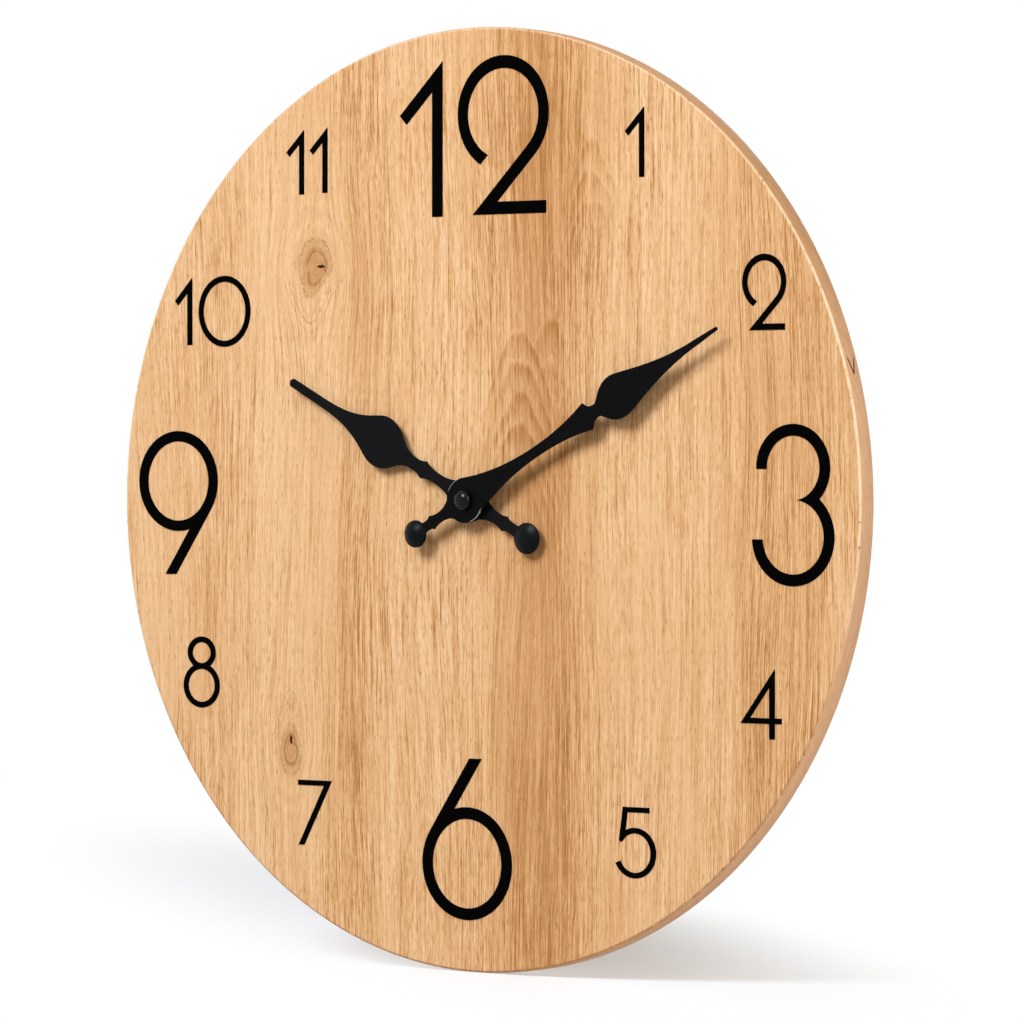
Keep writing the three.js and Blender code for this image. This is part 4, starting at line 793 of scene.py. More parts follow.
def black_gloss_finish():
    gloss = Finish("polished_black", specular=0.16)
    wave = gloss.noise(1.4, seed=6.0)
    return gloss.closed(gloss.mix(wave, srgb(3, 3, 3), srgb(7, 7, 8)),
                        wave.between(0.3, 0.7, 0.05, 0.1), wave, depth=0.004)


def black_plastic_finish():
    plastic = Finish("textured_black_plastic")
    spark = plastic.noise(0.35, detail=3.0, roughness=0.7, seed=8.0)
    cloud = plastic.noise(14, seed=9.0)
    return plastic.closed(
        plastic.mix(spark * 0.6 + cloud * 0.4, srgb(24, 24, 26), srgb(46, 46, 48)),
        spark * 0.25 + 0.4, spark, depth=0.03)


def brass_finish():
    brass = Finish("turned_brass", metallic=1.0)
    lines = brass.noise(0.07, 0.12, 1, x=brass.radius(), z=brass.x * 0.02, seed=11.0)
    stain = brass.noise(2.4, detail=3.0, seed=12.0)
    return brass.closed(brass.mix(stain, srgb(214, 176, 98), srgb(184, 142, 72)),
                        stain * 0.16 + lines * 0.1 + 0.18, lines, depth=0.006)


def steel_finish():
    steel = Finish("rolled_steel", metallic=1.0)
    rolled = steel.noise(0.12, 0.12, 5.0, detail=3.0, seed=13.0)
    cloud = steel.noise(4, seed=14.0)
    return steel.closed(steel.mix(cloud, srgb(196, 198, 202), srgb(158, 160, 164)),
                        rolled * 0.2 + 0.24, rolled, depth=0.006)


def magnet_finish():
    magnet = Finish("ground_ferrite", metallic=0.4)
    speck = magnet.noise(0.2, detail=3.0, roughness=0.7, seed=16.0)
    return magnet.closed(magnet.mix(speck, srgb(48, 48, 51), srgb(82, 82, 86)),
                         speck * 0.3 + 0.35, speck, depth=0.01)


def nylon_finish():
    nylon = Finish("moulded_nylon")
    for key, value in (("Weight", 0.08), ("Radius", (0.001, 0.001, 0.0008)), ("Scale", 0.5)):
        nylon.shader.inputs["Subsurface " + key].default_value = value
    cloud = nylon.noise(3.5, seed=17.0)
    grain = nylon.noise(0.25, seed=18.0)
    return nylon.closed(nylon.mix(cloud, srgb(232, 229, 220), srgb(216, 212, 200)),
                        grain * 0.2 + 0.34, grain, depth=0.01)


def rubber_finish():
    rubber = Finish("matt_rubber")
    grain = rubber.noise(0.3, detail=3.0, roughness=0.7, seed=19.0)
    return rubber.closed(rubber.mix(grain, srgb(22, 22, 22), srgb(44, 43, 42)),
                         grain * 0.2 + 0.72, grain, depth=0.03)


def copper_finish():
    copper = Finish("enamelled_wire", metallic=0.85)
    cloud = copper.noise(3, 3, 1.2, detail=3.0, seed=20.0)
    drawn = copper.noise(1.6, 1.6, 0.08, seed=29.0)
    return copper.closed(copper.mix(cloud, srgb(196, 108, 58), srgb(150, 72, 34)),
                         cloud * 0.2 + 0.22, drawn, depth=0.004)


def board_finish():
    board = Finish("solder_mask")
    weave = (board.x / 0.5).math("SINE") * (board.z / 0.5).math("SINE")
    cloud = board.noise(4, seed=22.0)
    return board.closed(board.mix(cloud + weave * 0.08, srgb(32, 92, 52), srgb(52, 122, 72)),
                        cloud * 0.15 + 0.28, weave, depth=0.01)


def jacket_finish():
    """A dark jacket with a pale stripe, between ends of bare tin."""
    jacket = Finish("cell_jacket", metallic=0.35)
    wave = jacket.noise(8, 2, 2, seed=23.0)
    dark = jacket.mix(wave, srgb(44, 58, 70), srgb(56, 72, 86))
    pale = jacket.mix(wave, srgb(150, 158, 164), srgb(170, 177, 182))
    tin = jacket.mix(wave, srgb(186, 188, 192), srgb(164, 166, 170))
    stripe = jacket.x.band(17.0, 17.1, 19.4, 19.5)
    middle = (CELL_X[0] + CELL_X[1] - CELL_NUB_LENGTH) / 2
    end = (jacket.x - middle).math("ABSOLUTE").between(24.0, 24.1)
    return jacket.closed(jacket.mix(end, jacket.mix(stripe, dark, pale), tin),
                         wave * 0.15 + 0.2, wave, depth=0.01)


SLOT_FINISHES = {
    "oak": oak_finish(),
    "numeral_black": black_film_finish(),
    "hand_black": black_paint_finish(),
    "cap_black": black_gloss_finish(),
    "case_black": black_plastic_finish(),
    "brass": brass_finish(),
    "steel": steel_finish(),
    "magnet": magnet_finish(),
    "white_nylon": nylon_finish(),
    "rubber": rubber_finish(),
    "copper": copper_finish(),
    "board_green": board_finish(),
    "cell_jacket": jacket_finish(),
}
BALL = black_ball_finish()
for subpart in frame["record"]["subparts"]:
    node = frame["nodes"][subpart["node"]]
    set_finish(node, SLOT_FINISHES[subpart["material_slot"]])


def dress(piece, node, body, slot):
    """Gives a piece its finish and lets it stand for its node on its body."""
    set_finish(piece, SLOT_FINISHES[slot])
    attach(piece, body)
    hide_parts(node)
    return piece


# Panel
def panel_mesh():
    outer = PANEL_RADIUS - EDGE_ROUND
    flat = (BORE_RADIUS, *PANEL_RINGS)
    profile = [(radius, FACE_Y) for radius in flat]
    profile += round_edge((outer, FACE_Y + EDGE_ROUND), EDGE_ROUND, -90, 0, 5)
    profile += round_edge((outer, BACK_Y - EDGE_ROUND), EDGE_ROUND, 0, 90, 5)
    profile += [(radius, BACK_Y) for radius in reversed(flat)]
    return lathe("oak_panel", profile, segments=288, closed=True)


dress(panel_mesh(), "wooden_panel", "clock_body", "oak")


# Numerals. Each function gives the outlines of one figure and of its holes.
def box_of(points):
    xs, zs = zip(*points)
    return min(xs), max(xs), min(zs), max(zs)


def step_from(point, angle, distance):
    return point[0] + distance * math.cos(angle), point[1] + distance * math.sin(angle)


def figure_one(weight):
    width, height = 17.7, 49.5
    stem, flag = 4.3 * weight, 4.0 * weight
    slope = math.radians(43.6)
    flag_tip = (0.0, height - width * math.tan(slope))
    heel = (flag * math.sin(slope), flag_tip[1] - flag * math.cos(slope))
    crotch = heel[1] + (width - stem - heel[0]) * math.tan(slope)
    outline = [(width - stem, 0), (width, 0), (width, height), flag_tip, heel,
               (width - stem, crotch)]
    return [outline], []


def figure_two(weight):
    height, radius = 50.2, 18.4
    stroke, bar, bar_end = 3.9 * weight, 3.8 * weight, 35.8
    slope = math.radians(44)
    leaves = slope - math.pi / 2
    centre = (radius, height - radius)
    inner = radius - stroke
    bowl = arc(centre, radius, radius, leaves, math.radians(239.5), 72)
    bowl += arc(centre, inner, inner, math.radians(244.5), leaves, 72)
    outer_left = step_from(centre, leaves, radius)
    inner_left = step_from(centre, leaves, inner)
    heel = outer_left[0] - (outer_left[1] - bar) / math.tan(slope)
    tip = inner_left[0] - inner_left[1] / math.tan(slope)
    foot = [(tip, 0), (bar_end, 0), (bar_end, bar), (heel, bar), outer_left, inner_left]
    return [bowl, foot], []


def two_rings(middle, height, upper, lower, side, top):
    """An upper ring on a lower one, from their half widths and heights and their thickness."""
    rings = (((middle, height - upper[1]), upper), ((middle, lower[1]), lower))
    return ([oval(at, *radii) for at, radii in rings],
            [oval(at, radii[0] - side, radii[1] - top) for at, radii in rings])


def figure_three(weight):
    height = 49.4
    upper, lower = (13.85, 13.4), (15.45, 14.95)
    middle = lower[0] - 0.1
    solids, holes = two_rings(middle, height, upper, lower, 3.8 * weight, 3.45 * weight)
    cut_away = rectangle(-1, middle + 0.8, lower[1] - 0.8, height - upper[1] - 0.3)
    return solids, [*holes, cut_away]


def figure_four(weight):
    width, height = 15.6, 21.5
    bar_bottom, bar = 4.7, 1.6 * weight
    stem_right = 13.0
    stem_left = stem_right - 2 * weight
    slope = math.atan2(height - bar_bottom, stem_right)
    bar_top = bar_bottom + bar
    inside_left = bar / math.tan(slope) + 1.7 * weight / math.sin(slope)
    inside_top = bar_top + (stem_left - inside_left) * math.tan(slope)
    outline = [(0, bar_bottom), (stem_left, bar_bottom), (stem_left, 0), (stem_right, 0),
               (stem_right, bar_bottom), (width, bar_bottom), (width, bar_top),
               (stem_right, bar_top), (stem_right, height)]
    inside = [(inside_left, bar_top), (stem_left, bar_top), (stem_left, inside_top)]
    return [outline], [inside]


def figure_five(weight):
    height, bar, bar_end = 22.1, 1.6 * weight, 13.85
    centre, radii = (8.2, 7.85), (8.2, 7.85)
    side, top = 2.1 * weight, 1.7 * weight
    end, outer_meets, inner_meets = (math.radians(angle) for angle in (-155.5, 116, 148))
    round_part = arc(centre, *radii, end, outer_meets, 72)
    round_part += arc(centre, radii[0] - side, radii[1] - top, inner_meets, end, 72)
    stem_top = (3.6, height)
    inner_end = arc(centre, radii[0] - side, radii[1] - top, inner_meets, inner_meets, 1)[0]
    lapped = arc(centre, radii[0] - side / 2, radii[1] - top / 2, outer_meets - 0.2,
                 outer_meets - 0.2, 1)[0]
    outer_end = arc(centre, *radii, outer_meets, outer_meets, 1)[0]
    stem = [(2.1, 11.7), inner_end, lapped, outer_end,
            (stem_top[0] + 0.85 * side, height - bar), (bar_end, height - bar),
            (bar_end, height), stem_top]
    return [round_part, stem], []


def figure_six(weight):
    height, radii = 51.4, (18.3, 17.95)
    side, top, stroke = 4 * weight, 3.5 * weight, 3.86 * weight
    slope = math.radians(55.4)
    touches = slope + math.pi / 2
    outer = arc(radii, *radii, touches, touches, 1)[0]
    inner = (outer[0] + stroke * math.sin(slope), outer[1] - stroke * math.cos(slope))
    top_left = outer[0] + (height - outer[1]) / math.tan(slope)
    top_right = top_left + stroke / math.sin(slope)
    stem = [outer, inner, (top_right, height), (top_left, height)]
    return [oval(radii, *radii), stem], [oval(radii, radii[0] - side, radii[1] - top)]


def figure_seven(weight):
    width, height = 14.4, 21.05
    bar, foot, foot_width = 1.65 * weight, 0.3, 2.4 * weight
    run = (width - foot - foot_width) / height
    inside = foot + run * (height - bar)
    return [[(foot, 0), (foot + foot_width, 0), (width, height), (0, height),
             (0, height - bar), (inside, height - bar)]], []


def figure_eight(weight):
    return two_rings(0, 23.4, (6.15, 5.3), (7.95, 7.3), 2.2 * weight, 1.85 * weight)


def figure_zero(weight):
    radii = (11.35, 11.65)
    return [oval((0, 0), *radii)], [oval((0, 0), radii[0] - 2.1 * weight,
                                         radii[1] - 1.9 * weight)]


def numeral_film(name, figure, x, z, width, height, weight=1.0, way=1):
    """A figure of the given size about its middle. Way is -1 where it stands on its head."""
    solids, holes = figure(weight)
    low_x, high_x, low_z, high_z = box_of([point for outline in solids for point in outline])

    def on_dial(point):
        across = (point[0] - (low_x + high_x) / 2) * width / (high_x - low_x)
        up = (point[1] - (low_z + high_z) / 2) * height / (high_z - low_z)
        return x + way * across, z + way * up

    return flat_piece(name + "_film", solids, holes, FACE_Y - FILM_THICKNESS, FACE_Y,
                      FILM_EDGE, on_dial)


# Each numeral's figure, its middle in X and Z, its width and height, and the weight of its strokes
for numeral, *sizes in (
    ("numeral_12_left", figure_one, -22.05, 115.05, 17.7, 49.5),
    ("numeral_12_right", figure_two, 11.5, 115.6, 36.8, 50.2, 1.04),
    ("numeral_1", figure_one, 63.9, 111.5, 7.6, 21.8, 1.1),
    ("numeral_2", figure_two, 113.8, 64.1, 16.6, 23.3, 1.11),
    ("numeral_3", figure_three, 124.7, -0.9, 30.9, 49.4, 1.03),
    ("numeral_4", figure_four, 112.7, -61.65, 15.6, 21.5, 1.06),
    ("numeral_5", figure_five, 64.45, -106.15, 15.9, 22.1),
    ("numeral_6", figure_six, -3.2, -107.8, 36.6, 51.4, 1.06),
    ("numeral_7", figure_seven, -66.9, -101.8, 14.4, 21.05),
    ("numeral_8", figure_eight, -116.1, -57.2, 15.9, 23.4),
    ("numeral_9", figure_six, -126.4, -1.35, 34.8, 47.3, 1.06, -1),
    ("numeral_10_left", figure_one, -124.0, 61.8, 7.6, 22.2, 1.17),
    ("numeral_10_right", figure_zero, -106.0, 61.6, 22.7, 23.3, 1.03),
    ("numeral_11_left", figure_one, -75.25, 109.5, 7.6, 20.95, 1.14),
    ("numeral_11_right", figure_one, -65.25, 109.85, 7.6, 21.1, 1.16),
):
    dress(numeral_film(numeral, *sizes), numeral, "clock_body", "numeral_black")


# Hands. The right side of the outline is drawn and mirrored, pointing at twelve.
def hand_side(hand):
    def at(pair):
        return pair[1], pair[0]

    ball, tail = hand["ball"], hand["tail"]
    neck = ball["at"] + math.sqrt(ball["radius"] ** 2 - hand["neck_end"] ** 2)
    neck_turn = math.atan2(neck - ball["at"], hand["neck_end"])
    side = arc((0, ball["at"]), ball["radius"], ball["radius"], -math.pi / 2, neck_turn, 28)
    side += bezier(side[-1], at(tail["notch"]), at(tail["barb"]), steps=6)
    side += bezier(side[-1], at(tail["pull"][1]), at(tail["pull"][0]), at(tail["leaves"]))
    hub_from = math.atan2(*tail["leaves"])
    hub_to = math.atan2(*hand["shoulder"]["leaves"])
    side += arc((0, 0), hand["hub"], hand["hub"], hub_from, hub_to, 20)
    side.append(at(hand["shoulder"]["leaves"]))
    for name in ("shoulder", "rise", "scoop", "spade", "taper"):
        pulls = [at(pull) for pull in hand[name]["pull"]]
        side += bezier(side[-1], *pulls, at(hand[name]["ends"]), steps=18)
    tip_at = hand["length"] - hand["tip"]
    side += arc((0, tip_at), hand["tip"], hand["tip"], 0, math.pi / 2, 8)
    return side


def hand_mesh(name, hand, front, degrees, hole_radius):
    right = hand_side(hand)
    outline = right + [(-x, z) for x, z in reversed(right[1:-1])]
    hole = circle(SHAFT, hole_radius, 48)
    blade = flat_piece(name + "_blade", [outline], [hole], front, front + HAND_THICKNESS,
                       edge=HAND_EDGE, place=lambda point: turn(point, degrees))
    ball = hand["ball"]
    radius = ball["radius"] - HAND_EDGE
    sphere = (radius ** 2 + ball["dome"] ** 2) / (2 * ball["dome"])
    profile = [(0, front + HAND_THICKNESS / 2), (radius, front + HAND_THICKNESS / 2)]
    rings = 14
    for step in range(rings + 1):
        reach = radius * math.cos(math.pi / 2 * step / rings)
        reach = 0 if step == rings else reach
        profile.append((reach, front - (math.sqrt(sphere ** 2 - reach ** 2)
                                        - (sphere - ball["dome"]))))
    dome = lathe(name + "_dome", profile, segments=64, centre=turn((0, ball["at"]), degrees))
    return joined(name, blade, dome)


def polish_ball(piece, front):
    """The dome of a hand's ball, which stands out before the flat hand, is polished."""
    piece.data.materials.append(BALL.material)
    for face in piece.data.polygons:
        if min(piece.data.vertices[corner].co.y for corner in face.vertices) < front * MM - 1e-5:
            face.material_index = 1


for node, body, hand, front, degrees, hole_radius in (
    ("hour_hand", "hour_hand_set", HOUR_HAND, HOUR_HAND_FRONT_Y, HOUR_HAND_ANGLE,
     HOUR_HOLE_RADIUS),
    ("minute_hand", "minute_hand_set", MINUTE_HAND, MINUTE_HAND_FRONT_Y, MINUTE_HAND_ANGLE,
     MINUTE_HOLE_RADIUS),
):
    plate = hand_mesh(node + "_plate", hand, front, degrees, hole_radius)
    polish_ball(dress(plate, node, body, "hand_black"), front)


# Cap nut: a skirt under a smooth dome
def cap_mesh():
    skirt = MINUTE_HAND_FRONT_Y - CAP_SKIRT
    rise = CAP_HEIGHT - CAP_SKIRT
    bore = MINUTE_HOLE_RADIUS
    bore_end = MINUTE_HAND_FRONT_Y - CAP_HEIGHT * 0.6
    profile = [(0, bore_end), (bore, bore_end), (bore, MINUTE_HAND_FRONT_Y)]
    profile += [(CAP_RADIUS - 0.1, MINUTE_HAND_FRONT_Y), (CAP_RADIUS, MINUTE_HAND_FRONT_Y - 0.1)]
    rings = 20
    for step in range(rings + 1):
        angle = math.pi / 2 * step / rings
        reach = 0 if step == rings else CAP_RADIUS * math.cos(angle)
        profile.append((reach, skirt - rise * math.sin(angle)))
    return lathe("domed_cap", profile, segments=72)


dress(cap_mesh(), "cap_nut", "minute_hand_set", "cap_black")


# Clamping stack at the middle of the dial
THREAD_RADIUS = 3.95
THREAD_PITCH = 0.75
THREAD_END_Y = -26.4
BUSHING_BORE = 2.58
FLANGE_REAR_Y = -13.5
THREAD_DEPTH = 0.34
FLANGE_RADIUS = 6.0
CLEAR_RADIUS = 4.0
COLLET_RADIUS = 3.4
COLLET_HEIGHT = 0.8
WASHER_RADIUS = 6.0
WASHER_FRONT_Y = -24.4
RUBBER_RADIUS = 10.0
NUT_FRONT_Y = -26.2
NUT_FLATS = 10.0
NUT_CHAMFER = {"face": 5.0, "side": 5.9, "deep": 0.45}


def turned_ring(name, inner, outer, front, rear, edge=0.12):
    """A ring whose outer edges are rounded and whose bore is chamfered."""
    profile = [(inner, rear - edge), (inner, front + edge), (inner + edge, front)]
    profile += round_edge((outer - edge, front + edge), edge, -90, 0, 4)
    profile += round_edge((outer - edge, rear - edge), edge, 0, 90, 4)
    profile.append((inner + edge, rear))
    return lathe(name, profile, segments=72, closed=True)


def bushing_mesh():
    """A sleeve with rings for its thread, and a flange at its rear end."""
    crest, root = THREAD_RADIUS, THREAD_RADIUS - THREAD_DEPTH
    chamfer = 0.15
    profile = [(BUSHING_BORE, THREAD_END_Y + chamfer), (BUSHING_BORE + chamfer, THREAD_END_Y),
               (root, THREAD_END_Y)]
    y = THREAD_END_Y + chamfer
    while y + THREAD_PITCH < WORKS_FRONT_Y:
        profile += [(crest, y + 0.3), (crest, y + 0.38), (root, y + 0.68)]
        y += THREAD_PITCH
    edge, rim = 0.1, FLANGE_RADIUS - 0.1
    profile += [(crest, WORKS_FRONT_Y), (rim, WORKS_FRONT_Y), (FLANGE_RADIUS, WORKS_FRONT_Y + edge),
                (FLANGE_RADIUS, FLANGE_REAR_Y - edge), (rim, FLANGE_REAR_Y),
                (BUSHING_BORE, FLANGE_REAR_Y)]
    return lathe("threaded_sleeve", profile, segments=64, closed=True)


def nut_mesh():
    """A hexagon whose corners are turned off to a cone on both sides."""
    reach = NUT_FLATS / math.sqrt(3)
    corners = [step_from(SHAFT, math.pi / 3 * corner, reach) for corner in range(6)]
    hexagon = flat_piece("hexagon", [corners], [circle(SHAFT, CLEAR_RADIUS, 64)],
                         NUT_FRONT_Y, WASHER_FRONT_Y, edge=0.06)
    face, side, deep = NUT_CHAMFER["face"], NUT_CHAMFER["side"], NUT_CHAMFER["deep"]
    cone = [(0, NUT_FRONT_Y), (face, NUT_FRONT_Y), (side, NUT_FRONT_Y + deep),
            (side, WASHER_FRONT_Y - deep), (face, WASHER_FRONT_Y), (0, WASHER_FRONT_Y)]
    return joined("chamfered_nut", hexagon, lathe("cone", cone, segments=96),
                  operation="INTERSECT")


dress(turned_ring("hand_collet", HOUR_HOLE_RADIUS, COLLET_RADIUS,
                  HOUR_HAND_FRONT_Y - COLLET_HEIGHT, HOUR_HAND_FRONT_Y),
      "hour_hand_collet", "hour_hand_set", "brass")
dress(turned_ring("brass_washer", CLEAR_RADIUS, WASHER_RADIUS, WASHER_FRONT_Y, FACE_Y),
      "dial_washer", "clock_body", "brass")
dress(turned_ring("rubber_ring", CLEAR_RADIUS, RUBBER_RADIUS, BACK_Y, CASE_FRONT_Y, edge=0.3),
      "rubber_washer", "clock_body", "rubber")
dress(bushing_mesh(), "threaded_bushing", "clock_body", "brass")
dress(nut_mesh(), "fixing_nut", "clock_body", "brass")


# Movement case, its cover, knob, cell and coil. A wheel's place is a direction in degrees and a
# distance from the wheel that drives it.
def meshed(wheel, degrees, distance):
    return step_from(wheel, math.radians(degrees), distance)


MINUTE_WHEEL_AT = meshed(SHAFT, 150, 9.0)
KNOB_AT = meshed(MINUTE_WHEEL_AT, 170, 9.0)
THIRD_AT = meshed(SHAFT, 35, 8.96)
ROTOR_AT = meshed(THIRD_AT, -20, 7.2)
INTERMEDIATE_AT = meshed(SHAFT, 100, 9.0)
POSTS = ((-23.5, 23.5), (23.5, 23.5), (-23.5, -7.4), (14.5, -7.4))
POST_RADIUS = 2.0
STAKE_RADIUS = 1.0
BOSS_RADIUS = 1.6
MINUTE_BOSS_REAR_Y = -13.3
MINUTE_PIN_RADIUS = 0.7
KNOB_BOSS_Y = (-13.3, -12.0)
KNOB_BORE_RADIUS = 0.78
BEARING = {"radius": 1.4, "front": -2.9, "bore": 0.43}
TONGUE = {"inner": 25.2, "outer": 26.2, "bottom": 6.0, "top": 14.0, "deep": 1.5}
HANGER = {"half": 7.3, "bottom": 28.3, "top": 38.5, "corner": 3.0, "front": -3.0}
SLOT = {"half": 3.8, "bottom": 29.5, "top": 35.5, "corner": 2.0}
KNOB_RADIUS = 5.0
KNOB_Y = (-2.6, -0.4)
KNOB_HOLE_RADIUS = 5.4
KNOB_SHAFT_RADIUS = 1.2
KNOB_PIVOT = {"radius": 0.7, "front": -13.0}
KNOB_SLIT = {"half": 3.0, "half_wide": 0.5, "deep": 0.8}
FLUTES = 10
FLUTE_RADIUS = 0.6
PINION = {"teeth": 10, "module": 0.45, "front": -11.85, "rear": -10.75}
WIRE_RADIUS = 0.19
WIRE_PITCH = 0.36
COIL_CORNER = 1.0


def rod(name, radius, front, rear, at, edge=0.1):
    profile = [(0, front), (radius - edge, front), (radius, front + edge), (radius, rear - edge),
               (radius - edge, rear), (0, rear)]
    return lathe(name, profile, segments=32, centre=at)


def case_mesh():
    half, inner, corner = CASE_HALF, CASE_HALF - CASE_WALL, CASE_CORNER - CASE_WALL
    tray = flat_piece("case", [rounded_box(-half, half, -half, half, CASE_CORNER)],
                      [circle(SHAFT, CLEAR_RADIUS, 64)], CASE_FRONT_Y, COVER_Y, edge=0.5)
    rooms = [
        flat_piece("room", [rounded_box(-inner, inner, bottom, top, corner)], [], front,
                   COVER_Y + 1, edge=0.3)
        for bottom, top, front in ((RIB[1], inner, WORKS_FRONT_Y), (-inner, RIB[0], BAY_FRONT_Y))
    ]
    tray = joined("case", tray, *rooms, operation="DIFFERENCE")
    floor_y = WORKS_FRONT_Y - LAP
    plate_front, plate_rear = TRAIN_PLATE_Y
    studs = []
    for at in POSTS:
        studs.append(rod("post", POST_RADIUS, floor_y, plate_front, at))
        studs.append(rod("stake", STAKE_RADIUS, plate_front - LAP, plate_rear + LAP, at,
                         edge=0.2))
    studs.append(rod("boss", BOSS_RADIUS, floor_y, MINUTE_BOSS_REAR_Y, MINUTE_WHEEL_AT))
    studs.append(rod("pin", MINUTE_PIN_RADIUS, WORKS_FRONT_Y, plate_front - 0.15,
                     MINUTE_WHEEL_AT))
    studs.append(rod("boss", BOSS_RADIUS, floor_y, KNOB_BOSS_Y[1], KNOB_AT))
    tray = joined("case", tray, *studs)
    bore = rod("hole", KNOB_BORE_RADIUS, KNOB_BOSS_Y[0], KNOB_BOSS_Y[1] + 1, KNOB_AT)
    tray = joined("case", tray, bore, operation="DIFFERENCE")
    side, top, round_by = HANGER["half"], HANGER["top"], HANGER["corner"]
    loop = [(-side, HANGER["bottom"]), (side, HANGER["bottom"])]
    loop += arc((side - round_by, top - round_by), round_by, round_by, 0, math.pi / 2, 12)
    loop += arc((round_by - side, top - round_by), round_by, round_by, math.pi / 2, math.pi, 12)
    slot = rounded_box(-SLOT["half"], SLOT["half"], SLOT["bottom"], SLOT["top"], SLOT["corner"])
    hanger = flat_piece("loop", [loop], [slot], HANGER["front"], 0.0, edge=0.3, both_sides=True)
    root = rectangle(-side, side, half - 0.75, HANGER["bottom"] + 0.4)
    return joined("moulded_case", tray, hanger,
                  flat_piece("root", [root], [], HANGER["front"] + 0.3, COVER_Y))


def cover_mesh():
    half, inner = CASE_HALF, CASE_HALF - CASE_WALL
    window = rounded_box(-inner, inner, -inner, RIB[0], CASE_CORNER - CASE_WALL)
    knob_hole = circle(KNOB_AT, KNOB_HOLE_RADIUS, 72)
    plate = flat_piece("cover", [rounded_box(-half, half, -half, half, CASE_CORNER)],
                       [window, knob_hole], COVER_Y, 0.0, edge=0.22, both_sides=True)
    for at in (SHAFT, THIRD_AT, ROTOR_AT, INTERMEDIATE_AT):
        plate = joined("cover", plate,
                       rod("boss", BEARING["radius"], BEARING["front"], COVER_Y + LAP, at))
        bore = rod("hole", BEARING["bore"], BEARING["front"] - 1, COVER_Y + LAP, at)
        plate = joined("cover", plate, bore, operation="DIFFERENCE")
    tongues = []
    for side in (-1, 1):
        outline = rectangle(side * TONGUE["inner"], side * TONGUE["outer"], TONGUE["bottom"],
                            TONGUE["top"])
        tongues.append(flat_piece("tongue", [outline], [], COVER_Y - TONGUE["deep"],
                                  COVER_Y + LAP, edge=0.2))
    return joined("moulded_cover", plate, *tongues)


def about_knob(name, unit, count):
    """Copies of a unit, which is made about the part's origin, round the line of the knob."""
    return repeated(name, unit, SLOT_FINISHES["white_nylon"].material, count,
                    turn_each=2 * math.pi / count, middle=placed(KNOB_AT[0], 0, KNOB_AT[1]))


def knob_mesh():
    front, rear = KNOB_Y
    edge, chamfer = 0.35, 0.15
    profile = [(0, front), (KNOB_RADIUS - chamfer, front), (KNOB_RADIUS, front + chamfer)]
    profile += round_edge((KNOB_RADIUS - edge, rear - edge), edge, 0, 90, 5)
    profile.append((0, rear))
    flute = [(0, front - 1), (FLUTE_RADIUS, front - 1), (FLUTE_RADIUS, rear + 1), (0, rear + 1)]
    flute = lathe("flute", flute, segments=24, centre=(KNOB_RADIUS, -SHAFT_Z))
    (x, z), long, wide = KNOB_AT, KNOB_SLIT["half"], KNOB_SLIT["half_wide"]
    slit = flat_piece("slit", [rectangle(x - long, x + long, z - wide, z + wide)], [],
                      rear - KNOB_SLIT["deep"], rear + LAP)
    head = joined("head", lathe("head", profile, segments=96, centre=KNOB_AT),
                  about_knob("flutes", flute, FLUTES), slit, operation="DIFFERENCE")
    return joined(
        "fluted_knob", head,
        rod("shaft", KNOB_SHAFT_RADIUS, PINION["rear"] - 0.2, front + 0.2, KNOB_AT),
        rod("pivot", KNOB_PIVOT["radius"], KNOB_PIVOT["front"], PINION["front"] + 0.2, KNOB_AT),
        pinion_mesh(),
    )


def pinion_mesh():
    """A round body, and its teeth repeated about it. The teeth lie as those of the CAD piece."""
    teeth, module, front, rear = (PINION[key] for key in ("teeth", "module", "front", "rear"))
    pitch, tip, root = (module * (teeth / 2 + part) for part in (0, 0.8, -1.1))
    centre = placed(KNOB_AT[0], 0, KNOB_AT[1])
    angles = []
    for vert in frame["nodes"]["setting_knob"].data.vertices:
        x, z = vert.co.x - centre.x, vert.co.z - centre.z
        if vert.co.y < rear * MM and math.hypot(x, z) > (tip - 0.02) * MM:
            angles.append(math.atan2(z, x))
    turned = sum((complex(math.cos(angle * teeth), math.sin(angle * teeth)) for angle in angles),
                 0j)
    first = math.atan2(turned.imag, turned.real) / teeth
    step = 2 * math.pi / teeth
    sides = [(radius, share * step)
             for radius, share in ((root - 0.1, 0.30), (pitch, 0.235), (tip, 0.12))]
    outline = [(radius * math.cos(first + angle), radius * math.sin(first + angle) - SHAFT_Z)
               for radius, angle in sides]
    outline += [(radius * math.cos(first - angle), radius * math.sin(first - angle) - SHAFT_Z)
                for radius, angle in reversed(sides)]
    tooth = flat_piece("tooth", [outline], [], front, rear)
    return joined("pinion", rod("body", root, front, rear, KNOB_AT, edge=0.05),
                  about_knob("teeth", tooth, teeth))


